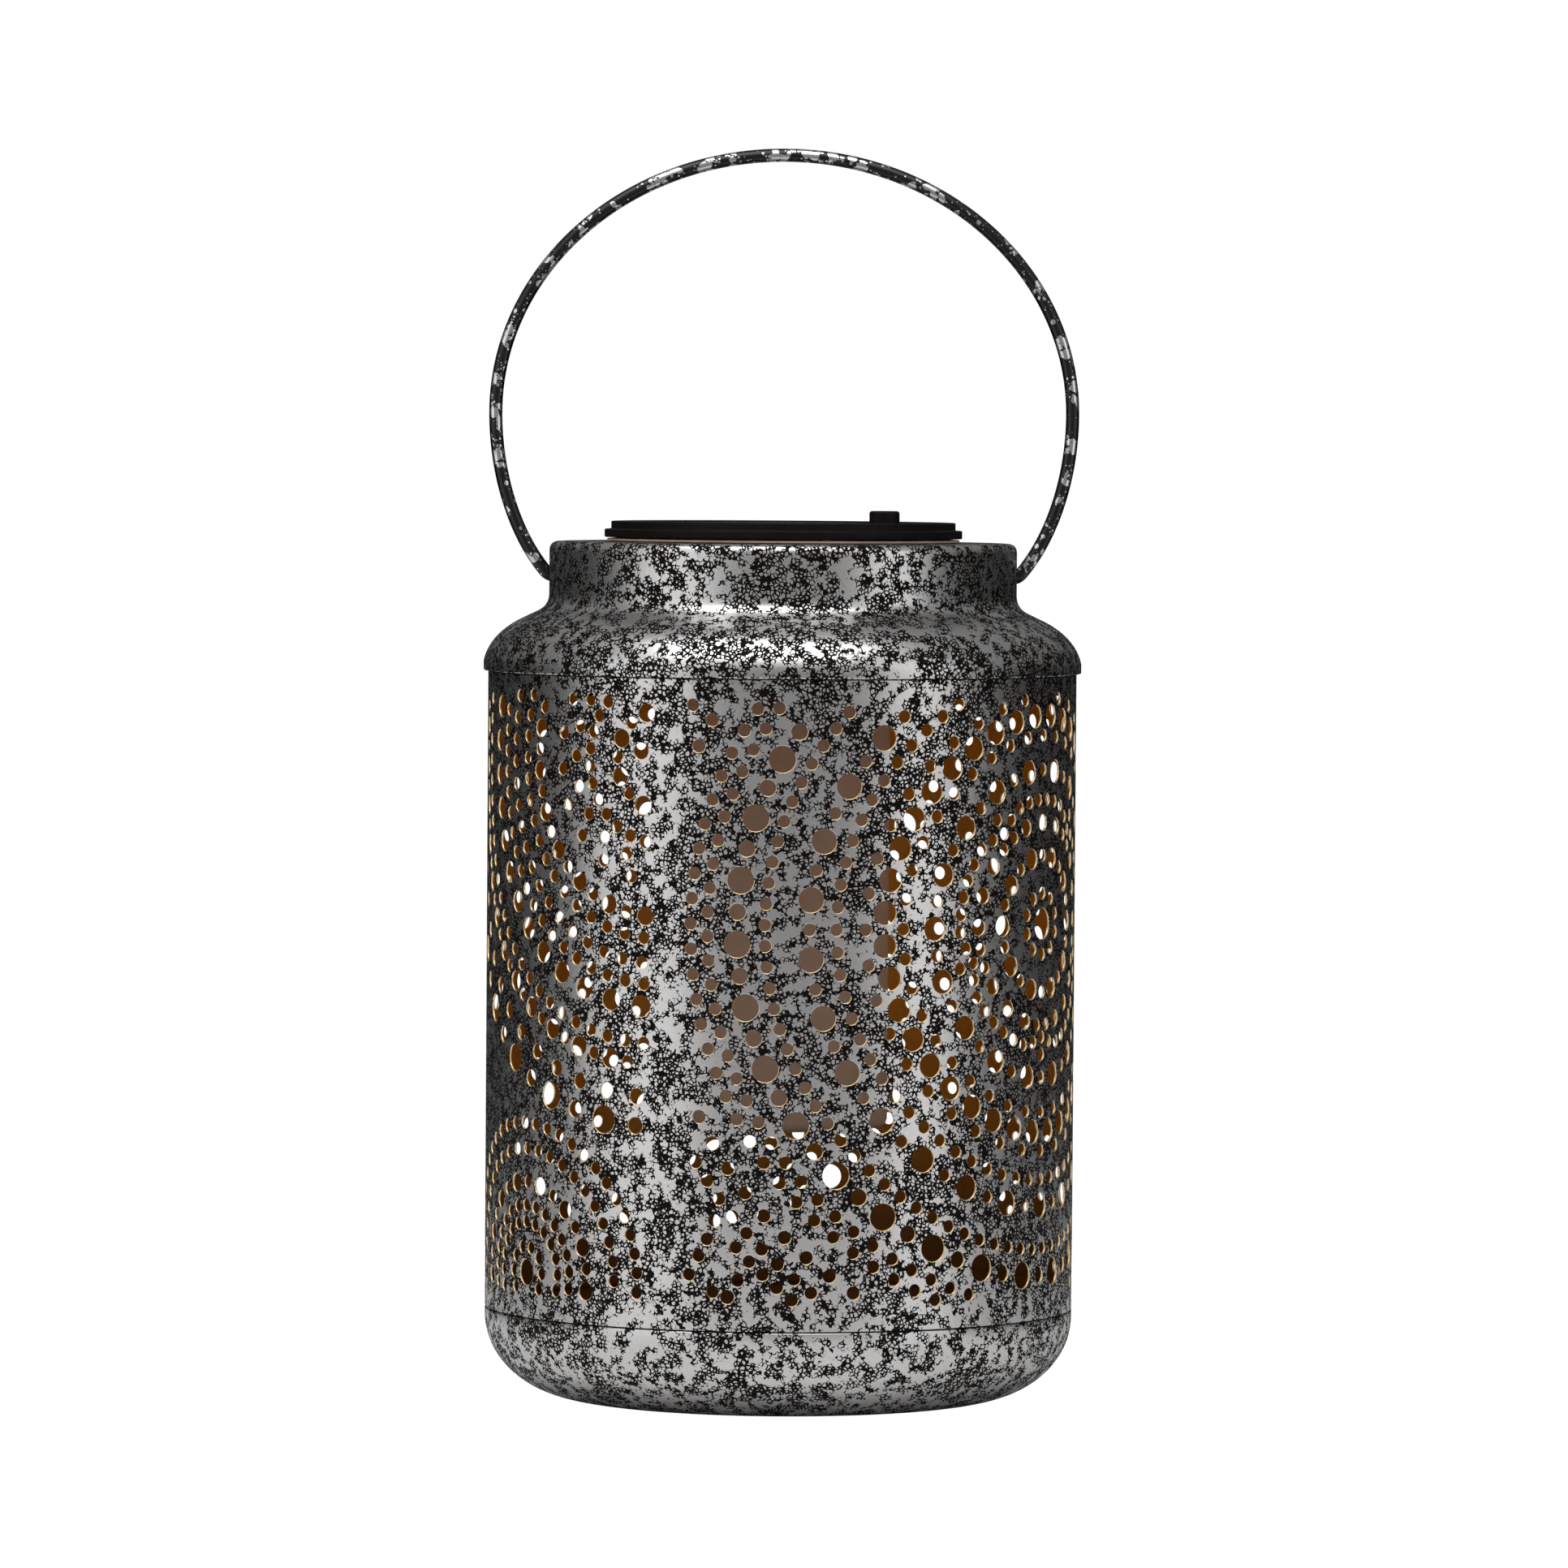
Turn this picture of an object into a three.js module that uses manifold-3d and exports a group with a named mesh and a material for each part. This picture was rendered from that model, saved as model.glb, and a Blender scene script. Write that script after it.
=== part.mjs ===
// Solar jar lantern: a perforated steel jar with a carrying bail and a lift-out solar lamp head.
// Millimetres, +Z up. The origin is the centre of the base's underside, the front faces -Y, and
// the bail turns about a line along X.
import * as THREE from "three";
import { mergeVertices } from "three/addons/utils/BufferGeometryUtils.js";
import Module from "manifold-3d";

const wasm = await Module();
wasm.setup();

const degree = Math.PI / 180;

// ---------------------------------------------------------------- driving dimensions
const gap = 0.3; // open line between pieces that rest on each other
const roundSides = 40; // sides of the jar's round pieces
const smallSides = 20; // sides of small round pieces
const screwSides = 8;
const bailSteps = 84;
const leadSteps = 9;

// Jar: base pan, rolled body sheet and lid
const shellRadius = 75;
const shellHeight = 161.5;
const sheet = 0.8;
const baseDepth = 23.1;
const baseCornerWidth = 25;
const lapDepth = 5;
const lapClearance = 0.4;
const lipOverhang = 1.2;
const lipHeight = 2.5;
const shoulderRise = 14.1;
const neckRadius = 59.6;
const neckHeight = 16.4;
const neckTopCorner = 2.5;
const neckRootFillet = 3.2;
const openingRadius = 43;

// Perforations of the body sheet
const seamAngle = -21.9 * degree; // welded seam, from the front towards +X
const seamStrip = 7.7; // blank width along the seam
const bandMargin = 6.4; // blank height at the sheet's top and bottom edges
const holeBridge = 1; // least metal left between two holes
const rosetteStretch = 1.03; // rosettes are this much wider than they are high
const holeSides = 8;

// Bail
const wireRadius = 1.7;
const bailHoleClearance = 1.1;
const pivotRise = 7.7; // pivot above the neck's root
const bailRise = 107.2; // crown's centreline above the pivot
const bailWaistRise = 41.5; // widest point above the pivot
const bailBulge = 13.9; // widest point past the neck's wall
const tailLength = 4.5;
const paddleWidth = 6.6;
const paddleThickness = 1.6;

// Diffuser: a cup that hangs in the lid's opening and narrows to a closed tube
const rimThickness = 0.5;
const rimOverlap = 1.9;
const cupClearance = 0.6;
const diffuserWall = 1.2;
const tubeRadius = 27.5;
const tubeLength = 121.1;

// Solar head
const headTurn = -41 * degree;
const flangeOverhang = 0.7; // head flange past the diffuser's rim
const flangeThickness = 2.1;
const stepSetback = 1.7;
const stepThickness = 2;
const drumClearance = 0.6;
const drumDepth = 28;
const drumWall = 1.6;
const drumFloor = 2.4;
const cellSide = 52;
const cellThickness = 0.8;
const windowThickness = 0.7;
const windowSink = 0.2;
const panelClearance = 0.3;

// Push button and its latching switch
const buttonRadius = 3.83;
const buttonEdge = 0.8;
const buttonInset = 5.2; // button's centre from the drum's inner wall
const buttonRise = 3.1;
const buttonClearance = 0.3;
const collarWidth = 0.8;
const collarThickness = 1.1;
const buttonTravel = 1.5;
const plungerRadius = 1.4;
const plungerLength = 5.3;
const switchSide = 6.4;
const switchHeight = 6;

// Battery, its contacts and its door
const batteryRadius = 7.25;
const batteryLength = 50.5;
const batteryOffset = 18;
const batteryLift = 0.5;
const batteryPlay = 0.85;
const noseRadius = 2.75;
const noseLength = 1.2;
const contactWidth = 10;
const contactThickness = 0.5;
const contactHeight = 11;
const springLength = 4;
const springTurns = 3.5;
const springRadius = 3.5;
const springWire = 0.4;
const bayWall = 1.2;
const doorLap = 1.2;
const doorThickness = 1.2;
const doorTabRadius = 3.8;
const doorScrewOffset = 7.6;

// Lamp circuit
const boardReach = 14; // board's end past the lamp, away from the button
const boardWidth = 16;
const boardThickness = 1.6;
const boardEnd = 3.6; // board's end past the button's centre
const chip = { length: 5, width: 4, height: 1.6 };
const inductor = { radius: 2.6, height: 5 };
const postRadius = 2.4;
const boardPostInset = 4.2;
const ledRadius = 2.5;
const ledFlange = 2.9;
const ledFlangeThickness = 1;
const ledLength = 6.4;
const legSpacing = 2.54;
const legRadius = 0.35;
const leadRadius = 0.6;
const leadHoleRadius = 2.6;

// Self-tapping screws
const housingScrew = { shank: 1.2, head: 2.5, headHeight: 1.6, length: 12.3 };
const smallScrew = { shank: 0.9, head: 1.9, headHeight: 1.2, length: 5.8 };
const screwClearance = 0.3;
const smallBore = smallScrew.shank + screwClearance;
const bossRadius = 3.4;
const bossCircle = 33.5;
const pilotDepth = 3.4;

// ---------------------------------------------------------------- places
const shellBottom = baseDepth + gap;
const shellTop = shellBottom + shellHeight;
const lapRadius = shellRadius - sheet - lapClearance;
const lipBottom = shellTop + gap;
const lipTop = lipBottom + lipHeight;
const lipRadius = shellRadius + lipOverhang;
const neckRoot = lipTop + shoulderRise;
const lidTop = neckRoot + neckHeight;
const pivotHeight = neckRoot + pivotRise;
const bailHoleRadius = wireRadius + bailHoleClearance;

const rimBottom = lidTop + gap;
const headSeat = rimBottom + rimThickness + gap; // underside of the head's flange
const cupOuter = openingRadius - cupClearance;
const cupInner = cupOuter - diffuserWall;
const drumRadius = cupInner - drumClearance;
const drumInner = drumRadius - drumWall;
const rimRadius = openingRadius + rimOverlap;
const flangeRadius = rimRadius + flangeOverhang;
const stepRadius = flangeRadius - stepSetback;
const buttonOffset = drumInner - buttonInset;

// Heights inside the head are measured from the underside of its flange
const coverTop = flangeThickness + stepThickness;
const recessDepth = cellThickness + windowThickness + 2 * gap + windowSink;
const recessFloor = coverTop - recessDepth;
const drumTop = -gap;
const drumBottom = drumTop - drumDepth;
const floorTop = drumBottom + drumFloor;
const cupFloor = drumBottom - cupClearance;
const collarTop = -gap;
const collarBottom = collarTop - collarThickness;
const plungerTop = collarBottom - gap;
const plungerBottom = plungerTop - plungerLength;
const switchTop = collarBottom - buttonTravel - 4 * gap;
const switchBottom = switchTop - switchHeight;
const boardTop = switchBottom - gap;
const boardBottom = boardTop - boardThickness;
const batteryAxis = floorTop + batteryLift + batteryRadius;
const contactFoot = batteryAxis - contactHeight / 2;
const plateContactX = batteryLength / 2 + gap + contactThickness / 2;
const springPlateX = -(batteryLength / 2 + springLength + 2 * gap + contactThickness / 2);
const doorOpening = {
  length: batteryLength + 2 * batteryPlay,
  width: 2 * batteryRadius + batteryPlay,
};
const doorRecess = doorThickness + gap;
const boardLength = boardReach + buttonOffset + boardEnd;
const boardCentreX = (buttonOffset + boardEnd - boardReach) / 2;
const boardPosts = [boardPostInset - boardReach, buttonOffset - switchSide / 2 - boardPostInset];
const cellLeadX = boardPosts[0] - 1;
const bossAngles = [90, 210, 330].map((angle) => angle * degree);
const leadEnd = boardTop + gap; // leads, parts and screw heads stand just off the board

// ---------------------------------------------------------------- shaping helpers
function solid(geometry) {
  const bare = geometry.clone();
  bare.deleteAttribute("normal");
  bare.deleteAttribute("uv");
  const merged = mergeVertices(bare, 1e-4);
  const vertProperties = merged.attributes.position.array;
  const triVerts = new Uint32Array(merged.index.array);
  return new wasm.Manifold(new wasm.Mesh({ numProp: 3, vertProperties, triVerts }));
}

function geometryOf(body) {
  const { vertProperties, triVerts } = body.getMesh();
  const indexed = new THREE.BufferGeometry();
  indexed.setAttribute("position", new THREE.BufferAttribute(vertProperties, 3));
  indexed.setIndex(new THREE.BufferAttribute(triVerts, 1));
  const geometry = indexed.toNonIndexed();
  geometry.computeVertexNormals();
  return geometry;
}

function cut(blank, tools) {
  return geometryOf(tools.reduce((body, tool) => body.subtract(solid(tool)), solid(blank)));
}

function join(blank, additions) {
  return geometryOf(additions.reduce((body, piece) => body.add(solid(piece)), solid(blank)));
}

const point = (radius, height) => new THREE.Vector2(radius, height);

// A body of revolution about Z from a closed section of (radius, height) points.
function turned(section, sides = roundSides) {
  const ordered = THREE.ShapeUtils.isClockWise(section) ? [...section].reverse() : section;
  return new THREE.LatheGeometry(ordered, sides).rotateX(Math.PI / 2);
}

// The section of a pressed sheet. Its metal lies to the right of the outer face's direction.
function sheetSection(face, thickness) {
  const back = face.map((corner, i) => {
    const before = corner.clone().sub(face[i - 1] ?? corner).normalize();
    const after = (face[i + 1] ?? corner).clone().sub(corner).normalize();
    const normals = [before, after].filter((way) => way.length() > 0).map((way) => point(way.y, -way.x));
    const sum = normals.reduce((total, normal) => total.clone().add(normal), point(0, 0));
    const scale = normals.length / sum.lengthSq();
    return corner.clone().add(sum.multiplyScalar(scale * thickness));
  });
  const loop = [...face, ...back.reverse()];
  return loop[0].x > 0 ? [...loop, loop[0]] : loop;
}

function cylinder(radius, bottom, top, sides = smallSides) {
  return new THREE.CylinderGeometry(radius, radius, top - bottom, sides)
    .rotateX(Math.PI / 2)
    .translate(0, 0, (top + bottom) / 2);
}

function block(length, width, bottom, top) {
  return new THREE.BoxGeometry(length, width, top - bottom).translate(0, 0, (top + bottom) / 2);
}

function wireAlong(path, radius, steps, sides = 8) {
  const section = new THREE.Shape().absarc(0, 0, radius, 0, 2 * Math.PI);
  const round = new THREE.Shape(section.getSpacedPoints(sides).slice(0, sides));
  return new THREE.ExtrudeGeometry(round, { steps, extrudePath: path, curveSegments: 1 });
}

// ---------------------------------------------------------------- jar
function basePan() {
  const seamEdge = [point(lapRadius, baseDepth + lapDepth), point(lapRadius, baseDepth)];
  const corner = new THREE.EllipseCurve(
    shellRadius - baseCornerWidth, baseDepth, baseCornerWidth, baseDepth, 0, -Math.PI / 2, true,
  );
  const face = [...seamEdge, ...corner.getPoints(7), point(0, 0)];
  return turned(sheetSection(face, sheet));
}

// A rosette's rings are [radius, number of holes, hole radius, turn of the first hole in degrees].
// Its place along the sheet is measured from the seam strip's edge, or back from the sheet's end.
const sheetWidth = 2 * Math.PI * shellRadius - seamStrip;
const rosettes = [
  { along: sheetWidth + 2.1, height: 164.8, eye: 3.4, rings: [[91.3, 31, 3.5, 237]] },
  { along: sheetWidth - 43, height: 34.8, eye: 3.3, rings: [] },
  { along: 105.1, height: 123.2, eye: 4, rings: [[71, 30, 3.2, 6], [88.5, 35, 3.4, 2.4]] },
  { along: 290, height: 108, eye: 4, rings: [[71, 30, 3.2, 6]] },
];

function largeHoles() {
  const holes = [];
  const place = (along, height, radius) => {
    const inBand = height - radius > shellBottom + bandMargin && height + radius < shellTop - bandMargin;
    const onSheet = along - radius > 0 && along + radius < sheetWidth;
    const clear = holes.every(
      (hole) => Math.hypot(hole.along - along, hole.height - height) > hole.radius + radius + holeBridge,
    );
    if (inBand && onSheet && clear) holes.push({ along, height, radius });
  };
  for (const { along, height, eye, rings } of rosettes) {
    place(along, height, eye);
    for (const [reach, count, radius, turn] of rings)
      for (let i = 0; i < count; i++) {
        const angle = turn * degree + (i * 2 * Math.PI) / count;
        const across = rosetteStretch * reach * Math.cos(angle);
        place(along + across, height + reach * Math.sin(angle), radius);
      }
  }
  return holes;
}

function perforatedShell() {
  const inside = shellRadius - sheet;
  const wall = turned([
    point(inside, shellBottom), point(shellRadius, shellBottom), point(shellRadius, shellTop),
    point(inside, shellTop), point(inside, shellBottom),
  ]);
  const punches = largeHoles().map(({ along, height, radius }) => {
    const angle = seamAngle + (seamStrip / 2 + along) / shellRadius;
    return new THREE.CylinderGeometry(radius, radius, 6 * sheet, holeSides)
      .translate(0, -(inside + shellRadius) / 2, 0)
      .rotateZ(angle)
      .translate(0, 0, height);
  });
  return cut(wall, punches);
}

function lidCap() {
  const run = lipRadius - neckRadius;
  const neckCorner = point(neckRadius, neckRoot);
  const coneEnd = point(neckRadius + 0.41 * run, lipTop + 0.77 * shoulderRise);
  const fillet = neckCorner.clone().lerp(coneEnd, neckRootFillet / neckCorner.distanceTo(coneEnd));
  const outline = new THREE.Path()
    .moveTo(openingRadius, lidTop)
    .lineTo(neckRadius - neckTopCorner, lidTop)
    .quadraticCurveTo(neckRadius, lidTop, neckRadius, lidTop - neckTopCorner)
    .lineTo(neckRadius, neckRoot + neckRootFillet)
    .quadraticCurveTo(neckRadius, neckRoot, fillet.x, fillet.y)
    .lineTo(coneEnd.x, coneEnd.y)
    .quadraticCurveTo(neckRadius + 0.91 * run, lipTop + 0.48 * shoulderRise, lipRadius, lipTop)
    .lineTo(lipRadius, lipBottom)
    .lineTo(lapRadius, lipBottom)
    .lineTo(lapRadius, lipBottom - lapDepth);
  const cap = turned(sheetSection(outline.getPoints(3), sheet));
  const bailHoles = [-1, 1].map((side) =>
    cylinder(bailHoleRadius, -3 * sheet, 3 * sheet, 16)
      .rotateY(Math.PI / 2)
      .translate(side * (neckRadius - sheet / 2), 0, pivotHeight),
  );
  return cut(cap, bailHoles);
}

// ---------------------------------------------------------------- bail
function bailWire() {
  const at = (x, rise) => new THREE.Vector3(x, 0, pivotHeight + rise);
  const tail = neckRadius - sheet - tailLength;
  const bend = neckRadius - 1.5 * sheet;
  const waist = neckRadius + bailBulge;
  const roundness = 0.5523; // handle length of a cubic that follows a quarter ellipse
  const crownRise = bailRise - bailWaistRise;
  const side = (way) => [
    [at(way * tail, 0), at(way * bend, 0)],
    [at(way * bend, 0), at(way * (bend + 1.4), 0), at(way * (bend + 2.3), 1.07)],
    [
      at(way * (bend + 2.3), 1.07), at(way * (bend + 10), 10.2),
      at(way * waist, bailWaistRise - 16), at(way * waist, bailWaistRise),
    ],
    [
      at(way * waist, bailWaistRise), at(way * waist, bailWaistRise + roundness * crownRise),
      at(way * waist * roundness, bailRise), at(0, bailRise),
    ],
  ];
  const curves = { 2: THREE.LineCurve3, 3: THREE.QuadraticBezierCurve3, 4: THREE.CubicBezierCurve3 };
  const stretches = [...side(-1), ...side(1).reverse().map((stretch) => [...stretch].reverse())];
  const path = new THREE.CurvePath();
  for (const stretch of stretches) path.add(new curves[stretch.length](...stretch));
  const paddles = [-1, 1].map((way) =>
    new THREE.BoxGeometry(tailLength - 2 * gap, paddleThickness, paddleWidth)
      .translate(way * (tail + tailLength / 2 - gap), 0, pivotHeight),
  );
  return join(wireAlong(path, wireRadius, bailSteps), paddles);
}

// ---------------------------------------------------------------- diffuser
function diffuser() {
  const step = headSeat + cupFloor;
  const tubeBottom = step - tubeLength;
  const tubeInner = tubeRadius - diffuserWall;
  return turned([
    point(0, tubeBottom), point(tubeRadius - 3, tubeBottom), point(tubeRadius, tubeBottom + 3),
    point(tubeRadius, step - diffuserWall), point(cupOuter, step - diffuserWall), point(cupOuter, rimBottom),
    point(rimRadius, rimBottom), point(rimRadius, rimBottom + rimThickness),
    point(cupInner, rimBottom + rimThickness),
    point(cupInner, step), point(tubeInner, step), point(tubeInner, tubeBottom + 3 + diffuserWall / 2),
    point(tubeInner - 2.4, tubeBottom + diffuserWall), point(0, tubeBottom + diffuserWall),
  ]);
}

// ---------------------------------------------------------------- solar head
function atBosses(geometry) {
  return bossAngles.map((angle) => geometry.clone().translate(bossCircle, 0, 0).rotateZ(angle));
}

function atBoardPosts(geometry) {
  return boardPosts.map((x) => geometry.clone().translate(x, 0, 0));
}

function headCover() {
  const disc = turned([
    point(0, 0), point(flangeRadius, 0), point(flangeRadius, flangeThickness),
    point(stepRadius, flangeThickness), point(stepRadius, coverTop - 0.5), point(stepRadius - 0.5, coverTop),
    point(0, coverTop),
  ]);
  const recess = cellSide + 2 * panelClearance;
  return cut(disc, [
    block(recess, recess, recessFloor, coverTop + gap),
    cylinder(leadHoleRadius, -gap, coverTop, 12).translate(cellLeadX, 0, 0),
    cylinder(buttonRadius + buttonClearance, -gap, coverTop + gap).translate(buttonOffset, 0, 0),
    ...atBosses(cylinder(housingScrew.shank + screwClearance, -gap, pilotDepth, 12)),
  ]);
}

function doorOutline(clearance) {
  const half = doorOpening.length / 2 + doorLap - clearance;
  const nearEdge = batteryOffset - doorOpening.width / 2 - doorLap + clearance;
  const farEdge = batteryOffset + doorOpening.width / 2 + doorLap - clearance;
  const tab = doorTabRadius - clearance;
  return new THREE.Shape()
    .moveTo(-half, farEdge)
    .lineTo(-half, nearEdge)
    .lineTo(-tab, nearEdge)
    .absarc(0, doorScrewOffset, tab, Math.PI, 2 * Math.PI)
    .lineTo(tab, nearEdge)
    .lineTo(half, nearEdge)
    .lineTo(half, farEdge);
}

function doorPlate(clearance, thickness) {
  return new THREE.ExtrudeGeometry(doorOutline(clearance), {
    depth: thickness, bevelEnabled: false, curveSegments: 10,
  });
}

function headHousing() {
  const drum = turned([
    point(0, drumBottom), point(drumRadius - 1, drumBottom), point(drumRadius, drumBottom + 1),
    point(drumRadius, drumTop), point(drumInner, drumTop), point(drumInner, floorTop), point(0, floorTop),
  ]);
  const bayEnd = (inner, way) =>
    block(bayWall, contactWidth + 2 * bayWall, floorTop - 1, contactFoot + contactHeight)
      .translate(inner + way * (gap + contactThickness / 2 + bayWall / 2), batteryOffset, 0);
  const posts = atBoardPosts(cylinder(postRadius, floorTop - 1, boardBottom - gap, 16));
  const doorPost = cylinder(postRadius, floorTop - 0.5, floorTop + smallScrew.length, 16);
  const whole = join(drum, [
    ...atBosses(cylinder(bossRadius, floorTop - 1, drumTop, 16)),
    bayEnd(plateContactX, 1), bayEnd(springPlateX, -1), ...posts, doorPost.translate(0, doorScrewOffset, 0),
  ]);
  const screwSeat = drumTop + pilotDepth + gap - housingScrew.length;
  return cut(whole, [
    block(doorOpening.length, doorOpening.width, drumBottom - 1, floorTop + 1).translate(0, batteryOffset, 0),
    doorPlate(0, doorRecess + 1).translate(0, 0, drumBottom - 1),
    cylinder(smallBore, drumBottom, floorTop + smallScrew.length - 1, 12).translate(0, doorScrewOffset, 0),
    cylinder(ledRadius + gap, drumBottom - 1, floorTop + 1, 16),
    ...atBosses(cylinder(housingScrew.shank + screwClearance, drumBottom, drumTop + 1, 12)),
    ...atBosses(cylinder(housingScrew.head + screwClearance, drumBottom - 1, screwSeat, 16)),
    ...atBoardPosts(cylinder(smallBore, boardBottom - smallScrew.length, boardBottom, 12)),
  ]);
}

function batteryDoor() {
  const plate = doorPlate(gap, doorThickness).translate(0, 0, drumBottom);
  return cut(plate, [cylinder(smallBore, drumBottom - 1, floorTop, 12).translate(0, doorScrewOffset, 0)]);
}

// A pan-head screw standing on its point at +Z, with its head's underside at height zero.
function screw({ shank, head, headHeight, length }) {
  return turned([
    point(0, -headHeight), point(head * 0.7, -headHeight), point(head, -headHeight / 2), point(head, 0),
    point(shank, 0), point(shank, length - shank), point(0, length),
  ], screwSides);
}

function circuitBoard() {
  const board = block(boardLength, boardWidth, boardBottom, boardTop).translate(boardCentreX, 0, 0);
  return cut(board, atBoardPosts(cylinder(smallBore, boardBottom - 1, boardTop + 1, 12)));
}

function controlChip() {
  return block(chip.length, chip.width, leadEnd, leadEnd + chip.height).translate(boardCentreX - 3, -3, 0);
}

function chargeInductor() {
  const { radius, height } = inductor;
  return cylinder(radius, leadEnd, leadEnd + height, 16).translate(boardCentreX + 6, -3.5, 0);
}

function switchPlunger() {
  return cylinder(plungerRadius, plungerBottom, plungerTop, 16).translate(buttonOffset, 0, 0);
}

function switchBody() {
  const bore = cylinder(plungerRadius + gap, plungerBottom - buttonTravel - gap, switchTop + 1, 16);
  return cut(block(switchSide, switchSide, switchBottom, switchTop), [bore]).translate(buttonOffset, 0, 0);
}

function led() {
  const shoulder = floorTop + gap;
  const domeCentre = shoulder - ledLength + ledRadius;
  const bulb = new THREE.EllipseCurve(0, domeCentre, ledRadius, ledRadius, -Math.PI / 2, 0);
  return turned([
    ...bulb.getPoints(4), point(ledRadius, shoulder), point(ledFlange, shoulder),
    point(ledFlange, shoulder + ledFlangeThickness), point(0, shoulder + ledFlangeThickness),
  ], 16);
}

function battery() {
  const end = batteryLength / 2;
  return turned([
    point(0, -end), point(batteryRadius - 0.5, -end), point(batteryRadius, 0.5 - end),
    point(batteryRadius, end - noseLength - 0.5), point(batteryRadius - 0.5, end - noseLength),
    point(noseRadius, end - noseLength), point(noseRadius, end), point(0, end),
  ], smallSides).rotateY(Math.PI / 2).translate(0, batteryOffset, batteryAxis);
}

function contactPlate(x) {
  return block(contactThickness, contactWidth, contactFoot, contactFoot + contactHeight)
    .translate(x, batteryOffset, 0);
}

class Coil extends THREE.Curve {
  getPoint(t, target = new THREE.Vector3()) {
    const angle = 2 * Math.PI * springTurns * t;
    const start = -(batteryLength / 2 + gap + springWire);
    const travel = springLength - 2 * springWire;
    return target.set(
      start - t * travel,
      batteryOffset + springRadius * Math.cos(angle),
      batteryAxis + springRadius * Math.sin(angle),
    );
  }
}

function buttonCap() {
  const top = coverTop + buttonRise;
  const collar = buttonRadius + collarWidth;
  return turned([
    point(0, collarBottom), point(collar, collarBottom), point(collar, collarTop),
    point(buttonRadius, collarTop), point(buttonRadius, top - buttonEdge),
    point(buttonRadius - 0.3 * buttonEdge, top - 0.3 * buttonEdge),
    point(buttonRadius - buttonEdge, top), point(0, top),
  ], smallSides).translate(buttonOffset, 0, 0);
}

// ---------------------------------------------------------------- leads
function lead(points) {
  const route = new THREE.CatmullRomCurve3(points.map(([x, y, z]) => new THREE.Vector3(x, y, z)));
  return wireAlong(route, leadRadius, leadSteps);
}

const contactTop = contactFoot + contactHeight + gap;
const leadArch = switchTop + 0.5;
const plateLeadX = boardCentreX + 6;
const springLeadX = boardPosts[0] + 3;
const cellLeadRoute = (way) => [
  [cellLeadX, way * 1.2, recessFloor], [cellLeadX, way * 1.2, -2],
  [cellLeadX - 1.5, way * 3.4, -6], [cellLeadX - 1.5, way * 3.4, leadEnd],
];
const leads = {
  battery_lead_plus: [
    [plateContactX, batteryOffset - 3, contactTop], [plateContactX - 1, batteryOffset - 4, leadArch - 1.5],
    [plateLeadX + 3, batteryOffset - 9, leadArch], [plateLeadX, boardWidth / 2 - 2, leadArch - 2.5],
    [plateLeadX, boardWidth / 2 - 2, leadEnd],
  ],
  battery_lead_minus: [
    [springPlateX, batteryOffset - 3, contactTop], [springPlateX + 2, batteryOffset - 5, leadArch - 1.5],
    [springPlateX + 10, batteryOffset - 9, leadArch], [springLeadX, boardWidth / 2 - 2, leadArch - 2.5],
    [springLeadX, boardWidth / 2 - 2, leadEnd],
  ],
  cell_lead_plus: cellLeadRoute(1),
  cell_lead_minus: cellLeadRoute(-1),
};

// ---------------------------------------------------------------- finishes
const finish = (color, roughness, metalness) => ({ color, roughness, metalness });
const finishes = {
  mottledSilver: finish(0x8d8a88, 0.38, 0.85),
  darkWire: finish(0x4a4746, 0.4, 0.8),
  frosted: finish(0xb9a98f, 0.6, 0),
  blackPlastic: finish(0x141414, 0.5, 0),
  clearResin: finish(0x9fb0c0, 0.1, 0),
  silicon: finish(0x16243f, 0.25, 0.2),
  greenBoard: finish(0x1f5f38, 0.5, 0),
  chipBlack: finish(0x202020, 0.6, 0),
  ledResin: finish(0xf3e7b8, 0.15, 0),
  batteryWrap: finish(0x3c8f4a, 0.35, 0),
  nickel: finish(0xb8b6b0, 0.3, 0.9),
  redLead: finish(0xb02a20, 0.5, 0),
  blackLead: finish(0x1b1b1b, 0.5, 0),
};

function piece(name, geometry, finishName) {
  const mesh = new THREE.Mesh(geometry, new THREE.MeshStandardMaterial(finishes[finishName]));
  mesh.name = name;
  return mesh;
}

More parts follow.
